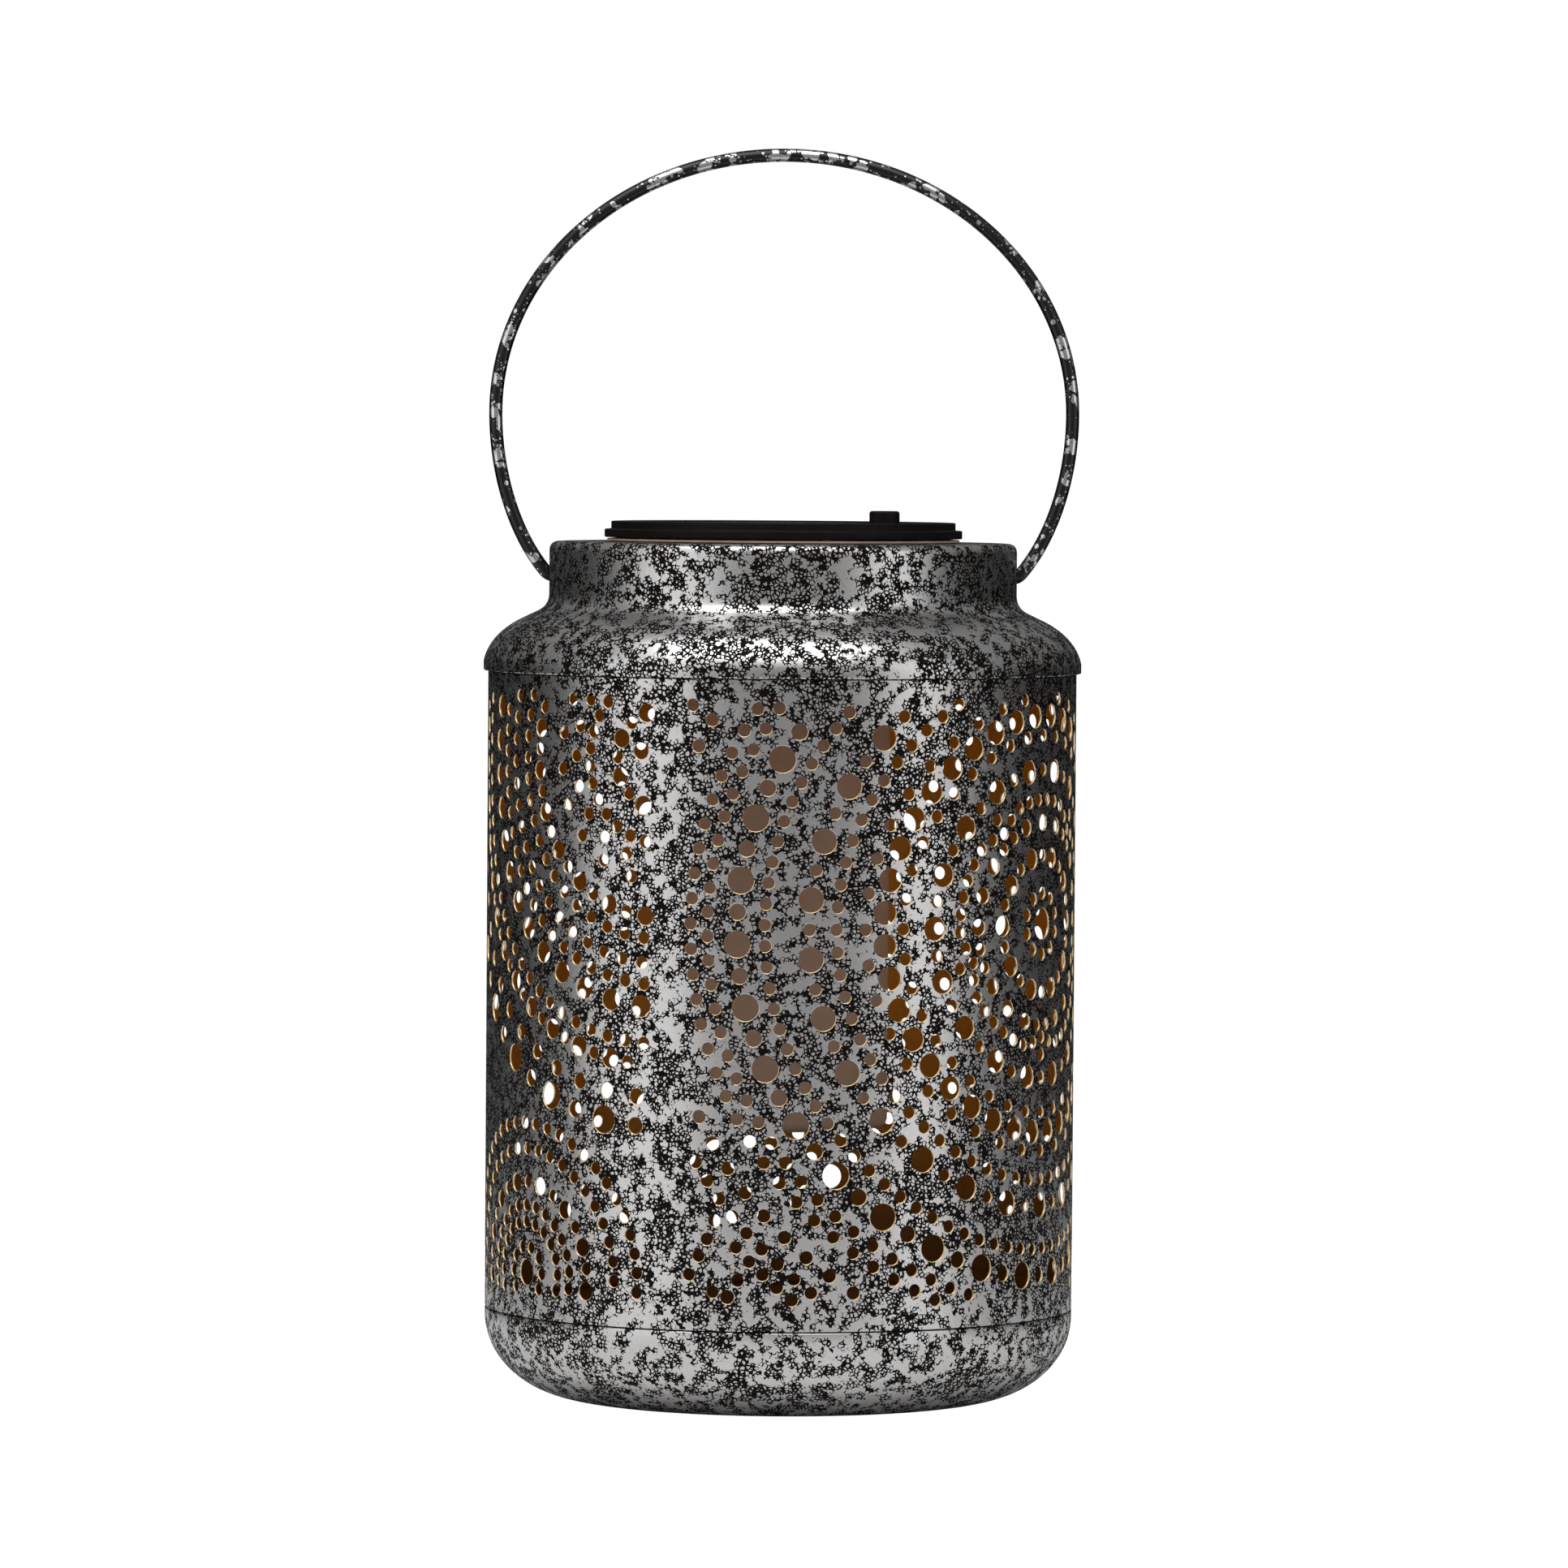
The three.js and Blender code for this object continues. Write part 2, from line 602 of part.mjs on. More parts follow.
// ---------------------------------------------------------------- assembly
function solarHead() {
  const head = new THREE.Group();
  const square = (side, bottom, thickness) => block(side, side, bottom, bottom + thickness);
  const cellBottom = recessFloor + gap;
  const windowBottom = cellBottom + cellThickness + gap;
  head.add(
    piece("head_cover", headCover(), "blackPlastic"),
    piece("solar_cell", square(cellSide - 1, cellBottom, cellThickness), "silicon"),
    piece("panel_window", square(cellSide, windowBottom, windowThickness), "clearResin"),
    piece("head_housing", headHousing(), "blackPlastic"),
    piece("battery_door", batteryDoor(), "blackPlastic"),
    piece("circuit_board", circuitBoard(), "greenBoard"),
    piece("control_chip", controlChip(), "chipBlack"),
    piece("charge_inductor", chargeInductor(), "chipBlack"),
    piece("led_lamp", led(), "ledResin"),
    piece("switch_body", switchBody(), "chipBlack"),
    piece("rechargeable_cell", battery(), "batteryWrap"),
    piece("battery_plate_contact", contactPlate(plateContactX), "nickel"),
    piece("battery_spring_plate", contactPlate(springPlateX), "nickel"),
    piece("battery_spring", wireAlong(new Coil(), springWire, 42, 6), "nickel"),
    piece("button_cap", buttonCap(), "blackPlastic"),
    piece("switch_plunger", switchPlunger(), "nickel"),
  );
  const seat = drumTop + pilotDepth - housingScrew.length;
  atBosses(screw(housingScrew).translate(0, 0, seat)).forEach((body, i) =>
    head.add(piece(`housing_screw_${i + 1}`, body, "nickel")),
  );
  boardPosts.forEach((x, i) => {
    const body = screw(smallScrew).rotateX(Math.PI).translate(x, 0, leadEnd);
    head.add(piece(`board_screw_${i + 1}`, body, "nickel"));
  });
  const doorScrew = screw(smallScrew).translate(0, doorScrewOffset, drumBottom - gap);
  head.add(piece("battery_door_screw", doorScrew, "nickel"));
  for (const [name, points] of Object.entries(leads))
    head.add(piece(name, lead(points), name.endsWith("plus") ? "redLead" : "blackLead"));
  for (const [name, way] of [["led_leg_plus", 1], ["led_leg_minus", -1]]) {
    const leg = cylinder(legRadius, floorTop + ledFlangeThickness + 2 * gap, boardBottom - gap, 8);
    head.add(piece(name, leg.translate(0, (way * legSpacing) / 2, 0), "nickel"));
  }
  head.position.z = headSeat;
  head.rotation.z = headTurn;
  return head;
}

const lantern = new THREE.Group();
lantern.add(
  piece("base_pan", basePan(), "mottledSilver"),
  piece("perforated_shell", perforatedShell(), "mottledSilver"),
  piece("lid_cap", lidCap(), "mottledSilver"),
  piece("diffuser_tube", diffuser(), "frosted"),
  piece("bail_wire", bailWire(), "darkWire"),
  solarHead(),
);

export default lantern;
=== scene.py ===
"""Solar jar lantern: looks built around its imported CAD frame. Metres, +Z up, front towards -Y."""
import math

import bmesh
import bpy
import numpy as np
from mathutils import Matrix, Vector
from mathutils.geometry import delaunay_2d_cdt


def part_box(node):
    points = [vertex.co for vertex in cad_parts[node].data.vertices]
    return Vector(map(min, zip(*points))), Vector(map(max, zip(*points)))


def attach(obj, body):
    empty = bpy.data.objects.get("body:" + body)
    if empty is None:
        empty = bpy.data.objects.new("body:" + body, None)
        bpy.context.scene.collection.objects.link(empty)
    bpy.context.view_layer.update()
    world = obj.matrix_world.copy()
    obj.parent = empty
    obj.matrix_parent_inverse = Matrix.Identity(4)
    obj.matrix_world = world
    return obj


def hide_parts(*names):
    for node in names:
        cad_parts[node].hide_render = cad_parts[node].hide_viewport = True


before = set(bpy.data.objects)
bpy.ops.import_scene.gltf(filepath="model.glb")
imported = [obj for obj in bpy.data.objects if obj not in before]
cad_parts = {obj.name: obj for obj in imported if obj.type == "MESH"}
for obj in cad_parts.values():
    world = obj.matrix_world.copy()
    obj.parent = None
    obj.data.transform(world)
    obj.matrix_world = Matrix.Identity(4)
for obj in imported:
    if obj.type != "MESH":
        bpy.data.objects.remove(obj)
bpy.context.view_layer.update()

MM = 0.001
SMOOTH_BELOW = math.radians(32)  # edges that turn less than this are shaded smooth


# ---------------------------------------------------------------- sizes from the frame
def round_size(node):
    """Outer radius about the lantern's axis, lowest and highest point of a CAD node."""
    points = np.array([v.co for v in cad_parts[node].data.vertices])
    return float(np.hypot(points[:, 0], points[:, 1]).max()), points[:, 2].min(), points[:, 2].max()


SHELL_RADIUS, SHELL_LOW, SHELL_HIGH = round_size("perforated_shell")
LIP_RADIUS, LID_LOW, LID_HIGH = round_size("lid_cap")
BASE_RADIUS, BASE_LOW, BASE_HIGH = round_size("base_pan")
RIM_RADIUS, TUBE_LOW, RIM_HIGH = round_size("diffuser_tube")
FLANGE_RADIUS, COVER_LOW, COVER_HIGH = round_size("head_cover")
BAIL_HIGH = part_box("bail_wire")[1]
BUTTON_LOW, BUTTON_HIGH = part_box("button_cap")

GAP = 0.3 * MM  # open line between pieces that rest on each other
SHEET = 0.8 * MM
PUNCHED_WALL = 0.55 * MM  # the punched sheet is thinner than the pressed pieces
LAP_RADIUS = SHELL_RADIUS - SHEET - 0.4 * MM
SEAM_ROUND = 0.5 * MM  # rounding of the edges on both sides of a seam
BASE_CORNER = 25 * MM
BASE_SEAM = SHELL_LOW - GAP
BASE_BAND = 2 * MM  # upright stretch of the pan below the seam
BASE_STEPS = 28  # points along the pan's round corner

LIP_LOW = SHELL_HIGH + GAP
LIP_TOP = LIP_LOW + 2.5 * MM
NECK_ROOT = LIP_TOP + 14.1 * MM
NECK_RADIUS = 59.6 * MM
NECK_TOP_CORNER = 2.5 * MM
NECK_ROOT_FILLET = 3.2 * MM
OPENING_RADIUS = 43 * MM
SHOULDER_RUN = LIP_RADIUS - NECK_RADIUS
SHOULDER_RISE = NECK_ROOT - LIP_TOP
# Points of the shoulder, as shares of its run out from the neck and of its rise above the lip
CONE_END = (0.41, 0.77)
SHOULDER_KNEE = (0.91, 0.48)

WIRE_RADIUS = 1.7 * MM
PIVOT_HEIGHT = NECK_ROOT + 7.7 * MM
BAIL_HOLE_RADIUS = WIRE_RADIUS + 1.1 * MM
BAIL_RISE = BAIL_HIGH.z - WIRE_RADIUS - PIVOT_HEIGHT
WAIST_RISE = 41.5 * MM
WAIST_REACH = BAIL_HIGH.x - WIRE_RADIUS
BAIL_TAIL = NECK_RADIUS - SHEET - 4.5 * MM
BAIL_BEND = NECK_RADIUS - 1.5 * SHEET
PADDLE_HALF_WIDTH = 3.3 * MM
PADDLE_HALF_THICKNESS = 0.8 * MM
PADDLE_REACH = 4.2 * MM  # from the tail to where the wire is round again
PADDLE_BLEND = 1.6 * MM

DIFFUSER_WALL = 1.2 * MM
DIFFUSER_ROUND_OUTSIDE = 2.6 * MM
DIFFUSER_ROUND_INSIDE = 1.6 * MM
TUBE_RADIUS = 27.5 * MM
CUP_RADIUS = OPENING_RADIUS - 0.6 * MM
CUP_STEP = TUBE_LOW + 121.1 * MM
RIM_LOW = RIM_HIGH - 0.5 * MM

HEAD_TURN = math.radians(-41)
STEP_RADIUS = FLANGE_RADIUS - 1.7 * MM
FLANGE_HIGH = COVER_LOW + 2.1 * MM
COVER_ROUND = 0.35 * MM
PANEL_SIDE = 52.6 * MM
PANEL_FLOOR = COVER_HIGH - 2.3 * MM
BUTTON_CENTRE = (BUTTON_LOW + BUTTON_HIGH) / 2
BUTTON_RADIUS = 3.83 * MM
BUTTON_COLLAR_HIGH = COVER_LOW - GAP
BUTTON_COLLAR_RADIUS = BUTTON_RADIUS + 0.8 * MM
BUTTON_ROUND = 0.8 * MM

OUTSIDE, INSIDE, EDGE = 0, 1, 2  # material slots of the jar's sheet pieces


# ---------------------------------------------------------------- outlines
def quadratic(start, handle, end, steps=8):
    """Points of a quadratic curve after its start."""
    start, handle, end = Vector(start), Vector(handle), Vector(end)
    shares = [(i + 1) / steps for i in range(steps)]
    return [start * (1 - t) ** 2 + handle * 2 * t * (1 - t) + end * t * t for t in shares]


def cubic(start, first, second, end, steps=24):
    """Points of a cubic curve after its start."""
    a, b, c, d = Vector(start), Vector(first), Vector(second), Vector(end)
    shares = [(i + 1) / steps for i in range(steps)]
    return [
        a * (1 - t) ** 3 + b * 3 * t * (1 - t) ** 2 + c * 3 * t * t * (1 - t) + d * t ** 3
        for t in shares
    ]


def rounded(corners, radius, steps=4):
    """An outline with each inner corner rounded by the same radius."""
    points = [Vector(corners[0])]
    for before, corner, after in zip(corners, corners[1:], corners[2:]):
        corner = Vector(corner)
        back = Vector(before) - corner
        on = Vector(after) - corner
        cut_back = corner + back.normalized() * min(radius, back.length * 0.45)
        cut_on = corner + on.normalized() * min(radius, on.length * 0.45)
        points += [cut_back, *quadratic(cut_back, corner, cut_on, steps)]
    return points + [Vector(corners[-1])]


def inner_face(outline, thickness):
    """The outline moved to its right-hand side by the sheet's thickness, in reverse order."""
    moved = []
    for i, here in enumerate(outline):
        before = outline[max(i - 1, 0)]
        after = outline[min(i + 1, len(outline) - 1)]
        along = (after - before).normalized()
        point = here + Vector((along.y, -along.x)) * thickness
        point.x = max(point.x, 0)
        moved.append(point)
    return moved[::-1]


# ---------------------------------------------------------------- mesh helpers
def piece_from(name, form):
    """A piece whose mesh is this bmesh, smooth apart from its sharp edges."""
    for face in form.faces:
        face.smooth = True
    for edge in form.edges:
        edge.smooth = edge.calc_face_angle(math.pi) < SMOOTH_BELOW
    mesh = bpy.data.meshes.new(name)
    form.to_mesh(mesh)
    form.free()
    piece = bpy.data.objects.new(name, mesh)
    bpy.context.scene.collection.objects.link(piece)
    return piece


def turned(name, section, centre=(0, 0), sides=192, outside=None):
    """A closed section of (radius, height) points turned about a vertical line.

    Faces past the first outside points are the inside, and take the second material."""
    form = bmesh.new()
    rings = []
    for radius, height in section:
        count = 1 if radius < 1e-7 else sides
        rings.append([
            form.verts.new((
                centre[0] + radius * math.sin(2 * math.pi * i / sides),
                centre[1] - radius * math.cos(2 * math.pi * i / sides),
                height,
            ))
            for i in range(count)
        ])
    for number, (lower, upper) in enumerate(zip(rings, rings[1:] + rings[:1])):
        if len(lower) == len(upper) == 1:
            continue
        inside = outside is not None and outside <= number < len(rings) - 1
        for i in range(sides):
            corners = [lower[i % len(lower)], lower[(i + 1) % len(lower)]]
            corners += [upper[(i + 1) % len(upper)], upper[i % len(upper)]]
            form.faces.new(list(dict.fromkeys(corners))).material_index = int(inside)
    bmesh.ops.recalc_face_normals(form, faces=form.faces)
    return piece_from(name, form)


def block(size, centre, turn=0.0):
    """A box-shaped cutter of that size."""
    form = bmesh.new()
    place = Matrix.Translation(centre) @ Matrix.Rotation(turn, 4, "Z") @ Matrix.Diagonal((*size, 1))
    bmesh.ops.create_cube(form, size=1, matrix=place)
    return piece_from("cutter", form)


def rod(radius, start, end, sides=48):
    """A round cutter from start to end."""
    form = bmesh.new()
    axis = Vector(end) - Vector(start)
    turn = axis.to_track_quat("Z", "Y").to_matrix().to_4x4()
    place = Matrix.Translation((Vector(start) + Vector(end)) / 2) @ turn
    bmesh.ops.create_cone(
        form, cap_ends=True, segments=sides, radius1=radius, radius2=radius, depth=axis.length, matrix=place
    )
    return piece_from("cutter", form)


def cut(piece, cutters):
    """Cuts the cutters out of the piece and removes them."""
    for cutter in cutters:
        trim = piece.modifiers.new("cut", "BOOLEAN")
        trim.operation = "DIFFERENCE"
        trim.solver = "EXACT"
        trim.object = cutter
    evaluated = piece.evaluated_get(bpy.context.evaluated_depsgraph_get())
    form = bmesh.new()
    form.from_mesh(evaluated.to_mesh())
    evaluated.to_mesh_clear()
    name = piece.name
    for spent in [piece, *cutters]:
        bpy.data.objects.remove(spent)
    return piece_from(name, form)


# ---------------------------------------------------------------- perforation pattern
# Millimetres on the flat sheet: along from the seam strip's edge, height above the table. A ring is
# (reach, number of holes, hole radius, turn of the first hole in degrees).
SEAM_ANGLE = math.radians(-21.9)
SEAM_STRIP = 7.7
BAND_LOW = SHELL_LOW / MM + 5.6
BAND_HIGH = SHELL_HIGH / MM - 3.2
HOLE_BRIDGE = 0.45  # least metal between two holes
STRETCH = 1.03  # rosettes are this much wider than they are high
SMALL = 1.6
MEDIUM = 2.1
HIGHLIGHT_SIDE = np.array((0.5, -0.87))  # painted highlight: the rolled edge round each hole gets the bright edge finish only on its lower right, where light catches it
HIGHLIGHT_REACH = 0.6
ROLL = 0.15  # width of the rolled-in edge round each hole
ROLL_DEPTH = ROLL * 0.8
LARGE_HOLE = 2.0  # holes of this radius and above have more sides
SMALL_HOLE_SIDES = 16
LARGE_HOLE_SIDES = 24
FILL_STEP = 3.0  # spacing of the mesh points between holes
FILL_CLEARANCE = 0.8  # least distance from such a point to a hole


def single(reach, radius, *turns):
    return [(reach, 1, radius, turn) for turn in turns]


def star():
    """The five-pointed middle of the large rosette."""
    rings = []
    for k in range(5):
        tip = 90 + 72 * k
        rings += single(25.5, MEDIUM, tip - 18, tip, tip + 18)
        rings += single(25.5, SMALL, tip + 30.6, tip + 41.4)
        rings += single(31.3, SMALL, *[tip + turn for turn in (-20, -12, -4, 4, 12, 20)])
        rings += single(28.6, SMALL, tip + 36)
        rings += single(30.0, SMALL, tip + 28, tip + 44)
        rings += single(32.9, SMALL, tip + 36)
    return rings


HEART = [
    (0, 1, 4.0, 0), (7.7, 10, SMALL, 90), (17.2, 10, 2.6, 108), (17.2, 10, SMALL, 90), *star(),
    (38.8, 18, 3.0, 180), (38.8, 18, SMALL, 190), (47.4, 40, SMALL, 0), (52.4, 40, 3.0, 4.5),
    (57.1, 40, SMALL, 0), (64.4, 72, SMALL, 0), (71.0, 30, 3.2, 174), (71.0, 30, SMALL, 180),
]
# Past its last full ring, single holes fill the sheet's lower corner beside the seam strip.
LARGE_ROSETTE = [
    *HEART, (81.8, 98, SMALL, 179.2), (88.5, 35, 3.4, 182.4), (88.5, 35, MEDIUM, 187.5),
    (95.8, 100, SMALL, 177.5), (100.0, 100, SMALL, 179.3), (108.1, 93, 1.7, 213.3),
    (114.1, 133, SMALL, 210.5), *single(118.4, SMALL, 221.8, 224.1, 226.3, 228.6, 230.9),
    *single(118.3, SMALL, 217.7), *single(122.6, SMALL, 218.9), *single(123.7, SMALL, 224.8),
    *single(126.8, SMALL, 219.8), *single(128.4, 1.8, 225.3), *single(130.1, SMALL, 223.8),
    *single(131.7, SMALL, 220.7),
]
LEFT_ROSETTE = [
    (6.2, 9, MEDIUM, 0), (12.4, 8, 2.3, 155.6), (12.4, 8, SMALL, 178.1), (20.9, 30, SMALL, 137.4),
    (25.3, 21, SMALL, 161.9), (30.2, 21, SMALL, 168.4), (39.1, 23, 2.3, 200.9), (39.1, 23, SMALL, 208.7),
    (44.5, 52, SMALL, 201.5), (50.7, 57, SMALL, 200.9), (55.9, 67, SMALL, 200.7), (61.5, 45, 2.7, 200.9),
    (70.6, 85, SMALL, 223.9), (75.8, 47, 2.5, 244), (75.8, 47, SMALL, 247.8), (84.0, 61, 2.0, 242),
    (91.3, 31, 3.5, 236.7), (91.3, 31, MEDIUM, 242.5),
]
SMALL_ROSETTE = [
    (0, 1, 3.3, 0), (6.6, 10, SMALL, 0), (12.8, 20, SMALL, 1), (17.0, 25, SMALL, 4.2),
    (22.8, 13, 2.3, -7.9), (22.8, 13, SMALL, 5.9), (31.2, 40, SMALL, -0.2), (37.7, 49, SMALL, -4),
]
ROUND = 2 * math.pi * SHELL_RADIUS / MM
WIDTH = ROUND - SEAM_STRIP
ROSETTES = [
    (WIDTH + 2.1, 164.8, LEFT_ROSETTE),
    (WIDTH - 43.0, 34.8, SMALL_ROSETTE),
    (105.1, 123.2, LARGE_ROSETTE),
    (290.0, 108.0, HEART),
]


def pattern():
    """Every hole as (along, height, radius). Where two would meet, the earlier one stays."""
    holes = np.zeros((0, 3))
    for along, height, rings in ROSETTES:
        for reach, count, radius, turn in rings:
            for k in range(count):
                angle = math.radians(turn + 360 * k / count)
                x = along + STRETCH * reach * math.cos(angle)
                z = height + reach * math.sin(angle)
                on_sheet = radius < x < WIDTH - radius and BAND_LOW + radius < z < BAND_HIGH - radius
                spans = np.hypot(holes[:, 0] - x, holes[:, 1] - z) - holes[:, 2]
                if on_sheet and (spans > radius + HOLE_BRIDGE).all():
                    holes = np.vstack([holes, (x, z, radius)])
    holes[:, 0] += SEAM_STRIP / 2
    return holes


def punched_sheet(holes, low, high):
    """Flat mesh of the punched sheet: its points, its triangles and each hole's loop of points."""
    across = np.linspace(0, ROUND, round(ROUND / FILL_STEP) + 1)
    upright = np.linspace(low, high, round((high - low) / FILL_STEP) + 1)
    points = [(x, low) for x in across] + [(ROUND, z) for z in upright[1:]]
    points += [(x, high) for x in across[::-1][1:]] + [(0, z) for z in upright[::-1][1:-1]]
    edges = [(i, (i + 1) % len(points)) for i in range(len(points))]
    owner = [-1] * len(points)
    loops = []
    for number, (x, z, radius) in enumerate(holes):
        sides = SMALL_HOLE_SIDES if radius < LARGE_HOLE else LARGE_HOLE_SIDES
        first = len(points)
        for k in range(sides):
            angle = 2 * math.pi * k / sides
            points.append((x + (radius + ROLL) * math.cos(angle), z + (radius + ROLL) * math.sin(angle)))
            owner.append(number)
        loops.append(list(range(first, first + sides)))
        edges += [(first + k, first + (k + 1) % sides) for k in range(sides)]
    for row, z in enumerate(upright[1:-1]):
        for x in across[1:-1] - FILL_STEP / 2 * (row % 2):
            if (np.hypot(holes[:, 0] - x, holes[:, 1] - z) > holes[:, 2] + FILL_CLEARANCE).all():
                points.append((x, z))
                owner.append(-1)
    _, _, faces, originals, _, _ = delaunay_2d_cdt(
        [Vector(point) for point in points], edges, [], 0, 1e-5, True
    )
    triangles = np.array([[originals[i][0] for i in face] for face in faces])
    owners = np.array(owner)[triangles]
    in_hole = (owners[:, 0] >= 0) & (owners == owners[:, :1]).all(axis=1)
    return np.array(points), triangles[~in_hole], loops, len(across)


def perforated_shell():
    """The rolled body sheet with all its holes, each edge rolled inwards."""
    holes = pattern()
    flat, triangles, loops, edge_count = punched_sheet(holes, SHELL_LOW / MM, SHELL_HIGH / MM)
    # A hole's rim is a second loop of its true radius, just below the sheet's face.
    rim_first = len(flat)
    rim_points = []
    rim_of = {}
    for (x, z, radius), loop in zip(holes, loops):
        for i in loop:
            rim_of[i] = rim_first + len(rim_points)
            reach = (flat[i] - (x, z)) / (radius + ROLL)
            rim_points.append((x + reach[0] * radius, z + reach[1] * radius))
    places = np.vstack([flat, rim_points])
    angle = SEAM_ANGLE + places[:, 0] * MM / SHELL_RADIUS
    radial = np.c_[np.sin(angle), -np.cos(angle), np.zeros(len(places))]
    tangent = np.c_[np.cos(angle), np.sin(angle), np.zeros(len(places))]
    height = np.c_[np.zeros((len(places), 2)), places[:, 1] * MM]

    depth = np.zeros(len(places))
    depth[rim_first:] = ROLL_DEPTH * MM
    outer = radial * (SHELL_RADIUS - depth)[:, None] + height
    inner = radial * (SHELL_RADIUS - PUNCHED_WALL) + height
    # The sheet's two ends are one line: the far end's points are the near end's.
    same = np.arange(len(places))
    at_end = np.where(np.isclose(places[:, 0], ROUND))[0]
    at_start = np.where(np.isclose(places[:, 0], 0))[0]
    for i in at_end:
        same[i] = at_start[np.argmin(abs(places[at_start, 1] - places[i, 1]))]

    outward = np.zeros((len(places), 3))
    for (x, z, radius), loop in zip(holes, loops):
        for i in loop:
            j = rim_of[i]
            reach = (flat[i] - (x, z)) / (radius + ROLL)
            outward[j] = -(tangent[j] * reach[0] + Vector((0, 0, 1)) * reach[1])
    count = len(places)
    faces, normals, slots = [], [], []

    def add(corners, corner_normals, material):
        faces.append([int(same[c]) if c < count else int(same[c - count] + count) for c in corners])
        normals.extend(corner_normals)
        slots.append(material)

    for a, b, c in triangles:
        add((a, b, c), [radial[a], radial[b], radial[c]], OUTSIDE)
    for a, b, c in triangles:
        # Inside, the hole's edge is its true radius, so the rim points take the loop's place.
        a, b, c = (rim_of.get(i, i) for i in (a, b, c))
        add((c + count, b + count, a + count), [-radial[c], -radial[b], -radial[a]], INSIDE)
    for (x, z, radius), loop in zip(holes, loops):
        for i, j in zip(loop, loop[1:] + loop[:1]):
            p, q = rim_of[i], rim_of[j]
            # Painted highlight: only the lower-right part of each hole's rolled edge takes the bright edge
            # finish; the rest stays plain steel.
            lean = ((flat[i] + flat[j]) / 2 - (x, z)) @ HIGHLIGHT_SIDE
            roll_highlight_slot = EDGE if lean > HIGHLIGHT_REACH * radius else OUTSIDE
            lean_p = (outward[p] + radial[p]) / math.sqrt(2)
            lean_q = (outward[q] + radial[q]) / math.sqrt(2)
            add((i, j, q, p), [radial[i], radial[j], lean_q, lean_p], roll_highlight_slot)
            add((p, q, q + count, p + count), [lean_p, lean_q, outward[q], outward[p]], EDGE)
    up = np.array((0, 0, 1.0))
    rim_low = list(range(edge_count - 1, -1, -1))
    tops = np.where(np.isclose(flat[:, 1], SHELL_HIGH / MM))[0]
    rim_high = list(tops[np.argsort(flat[tops, 0])])
    for line, normal in ((rim_low, -up), (rim_high, up)):
        for i, j in zip(line, line[1:]):
            add((i, j, j + count, i + count), [normal] * 4, OUTSIDE)

    used = sorted({c for face in faces for c in face})
    renumber = {old: new for new, old in enumerate(used)}
    vertices = np.vstack([outer, inner])[used]
    mesh = bpy.data.meshes.new("jar_shell")
    mesh.from_pydata(vertices.tolist(), [], [[renumber[c] for c in face] for face in faces])
    mesh.polygons.foreach_set("use_smooth", [True] * len(faces))
    mesh.polygons.foreach_set("material_index", slots)
    mesh.normals_split_custom_set([tuple(n) for n in normals])
    piece = bpy.data.objects.new("jar_shell", mesh)
    bpy.context.scene.collection.objects.link(piece)
    return piece


# ---------------------------------------------------------------- jar pieces
def jar_base():
    """The pan: a lap inside the body, a rounded seam edge, a deep rounded corner and a flat bottom."""
    face = rounded([
        (LAP_RADIUS, BASE_HIGH), (LAP_RADIUS, BASE_SEAM),
        (BASE_RADIUS, BASE_SEAM), (BASE_RADIUS, BASE_SEAM - BASE_BAND),
    ], SEAM_ROUND)
    depth = BASE_SEAM - BASE_LOW - BASE_BAND
    for i in range(1, BASE_STEPS + 1):
        angle = math.pi / 2 * i / BASE_STEPS
        across = BASE_RADIUS - BASE_CORNER + BASE_CORNER * math.cos(angle)
        face.append(Vector((across, BASE_LOW + depth * (1 - math.sin(angle)))))
    face.append(Vector((0, BASE_LOW)))
    return turned("jar_base", face + inner_face(face, SHEET), outside=len(face))


def on_shoulder(out, up):
    """A point of the lid's shoulder, by its shares of the run and the rise."""
    return Vector((NECK_RADIUS + out * SHOULDER_RUN, LIP_TOP + up * SHOULDER_RISE))


def jar_lid():
    """The spun lid: opening edge, straight neck, flared shoulder, lip and a lap inside the body."""
    root = Vector((NECK_RADIUS, NECK_ROOT))
    cone_end = on_shoulder(*CONE_END)
    fillet_end = root + (cone_end - root).normalized() * NECK_ROOT_FILLET
    knee = on_shoulder(*SHOULDER_KNEE)
    lip = (LIP_RADIUS, LIP_TOP)
    neck_top = Vector((NECK_RADIUS - NECK_TOP_CORNER, LID_HIGH))
    neck_side = Vector((NECK_RADIUS, LID_HIGH - NECK_TOP_CORNER))
    root_start = Vector((NECK_RADIUS, NECK_ROOT + NECK_ROOT_FILLET))
    face = [
        Vector((OPENING_RADIUS, LID_HIGH)), neck_top,
        *quadratic(neck_top, (NECK_RADIUS, LID_HIGH), neck_side),
        root_start, *quadratic(root_start, root, fillet_end), cone_end,
        *quadratic(cone_end, knee, lip, 14),
    ]
    face += rounded([
        (LIP_RADIUS, LIP_TOP - MM), (LIP_RADIUS, LIP_LOW), (LAP_RADIUS, LIP_LOW), (LAP_RADIUS, LID_LOW),
    ], SEAM_ROUND)
    lid = turned("jar_lid", face + inner_face(face, SHEET), outside=len(face))
    reach = Vector((4 * SHEET, 0, 0))
    holes = []
    for side in (-1, 1):
        middle = Vector((side * (NECK_RADIUS - SHEET / 2), 0, PIVOT_HEIGHT))
        holes.append(rod(BAIL_HOLE_RADIUS, middle - reach, middle + reach))
    return cut(lid, holes)


